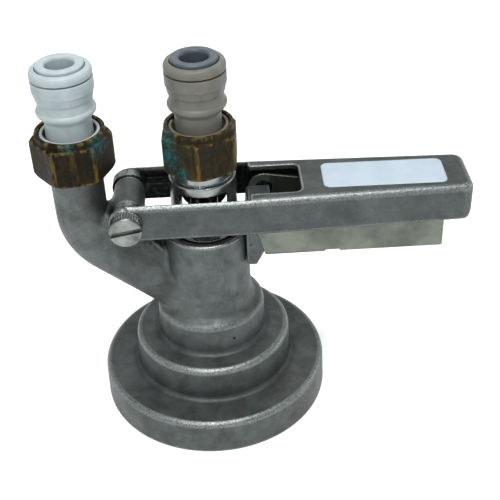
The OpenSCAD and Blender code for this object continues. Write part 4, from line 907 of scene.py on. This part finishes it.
# Seals: black nitrile, moulded, matt, with a paler bloom of dust. The bell's seal and the probe's are
# made here; the O-rings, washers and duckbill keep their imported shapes.
rubber, tree, shader, spot = stuff("nitrile_rubber")
bloom = noise(tree, spot, 260.0, 4.0)
tone = blend(tree, span(tree, bloom, 0.45, 0.75), "#1b1c1c", "#2c2d2c")
plug(tree, shader, {"Base Color": tone, "Roughness": 0.62})
seal_outline = [(9.5, 23.85), (9.5, 20.5), (10.3, 19.7), (11.9, 20.5), (22.4, 20.5), (24.75, 21.3),
                (24.75, 23.85)]
point, faces = turned(rounded(seal_outline, 0.4), 0.0, 0.0)
neck_seal = skin("keg_neck_seal", point, faces, rubber)
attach(neck_seal, "housing")
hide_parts("keg_seal")
nose_outline = [(6.25, 9.05), (7.6, 9.05), (8.4, 9.85), (8.4, 12.05), (7.6, 12.85), (6.25, 12.85)]
point, faces = turned(rounded(nose_outline, 0.4), 0.0, 0.0)
nose_seal = skin("probe_nose_seal", point, faces, rubber)
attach(nose_seal, "probe")
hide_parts("probe_seal")
for name in ("sleeve_orings", "gas_washer", "beer_washer", "gas_tube_seal", "beer_tube_seal",
             "gas_check_valve"):
    finish_node(name, rubber)


# Label: a bare white vinyl sticker with rounded corners on the lever's flat top, laid on slightly
# askew, its rim a little darker where dirt has crept under.
label_from, label_to, label_half, label_round, label_t, label_y = 43.2, 87.6, 8.4, 2.6, 0.12, 0.1
label_sunk, rim_share, label_turn = 0.02, 0.05, math.radians(-0.8)
rows, cols = 33, 89
u, v = np.meshgrid(np.linspace(-1, 1, cols), np.linspace(-1, 1, rows), indexing="xy")
half_long, middle = (label_to - label_from) / 2, (label_from + label_to) / 2
x, y = u * half_long, v * label_half
over_u, over_v = np.abs(x) - half_long + label_round, np.abs(y) - label_half + label_round
corner = (over_u > 0) & (over_v > 0)
away = np.maximum(np.hypot(over_u, over_v), 1e-9)
pull = np.where(corner, np.maximum(over_u, over_v) / away, 1)
x = np.where(corner, np.sign(x) * (half_long - label_round + over_u * pull), x)
y = np.where(corner, np.sign(y) * (label_half - label_round + over_v * pull), y)
x, y = (middle + x * math.cos(label_turn) - y * math.sin(label_turn),
        label_y + x * math.sin(label_turn) + y * math.cos(label_turn))
inner = np.clip((1 - np.maximum(np.abs(u), np.abs(v))) / rim_share, 0, 1)
top = np.stack([x, y, lever_top + label_t * (0.4 + 0.6 * inner)], -1).reshape(-1, 3)
foot = np.stack([x, y, np.full_like(x, lever_top - label_sunk)], -1).reshape(-1, 3)
i, j = np.meshgrid(np.arange(rows - 1), np.arange(cols - 1), indexing="ij")
a = i * cols + j
sheet = np.stack([a, a + 1, a + cols + 1, a + cols], -1).reshape(-1, 4)
along, across = np.arange(cols - 1), cols * np.arange(rows - 1)
edge_line = np.concatenate([along, cols - 1 + across, cols * rows - 1 - along, cols * (rows - 1) - across])
ahead = np.roll(edge_line, -1)
rim = np.stack([edge_line + rows * cols, ahead + rows * cols, ahead, edge_line], 1)
faces = np.concatenate([sheet, sheet[:, ::-1] + rows * cols, rim])
vinyl, tree, shader, spot = stuff("white_vinyl")
tone = blend(tree, span(tree, noise(tree, spot, 130.0, 4.0), 0.4, 0.7), "#aab9c4", "#a3b2be")
tone = blend(tree, span(tree, noise(tree, spot, 520.0, 2.0), 0.7, 0.76, 0.0, 0.5), tone, "#9aa0a4")
tone = blend(tree, span(tree, told(tree, "rim"), 0.6, 1.0, 0.0, 0.55), tone, "#8c9398")
plug(tree, shader, {"Base Color": tone, "Roughness": 0.32, "IOR": 1.5})
label = skin("blank_label", np.concatenate([top, foot]), faces, vinyl, rim=np.tile(1 - inner.reshape(-1), 2))
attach(label, "handle")
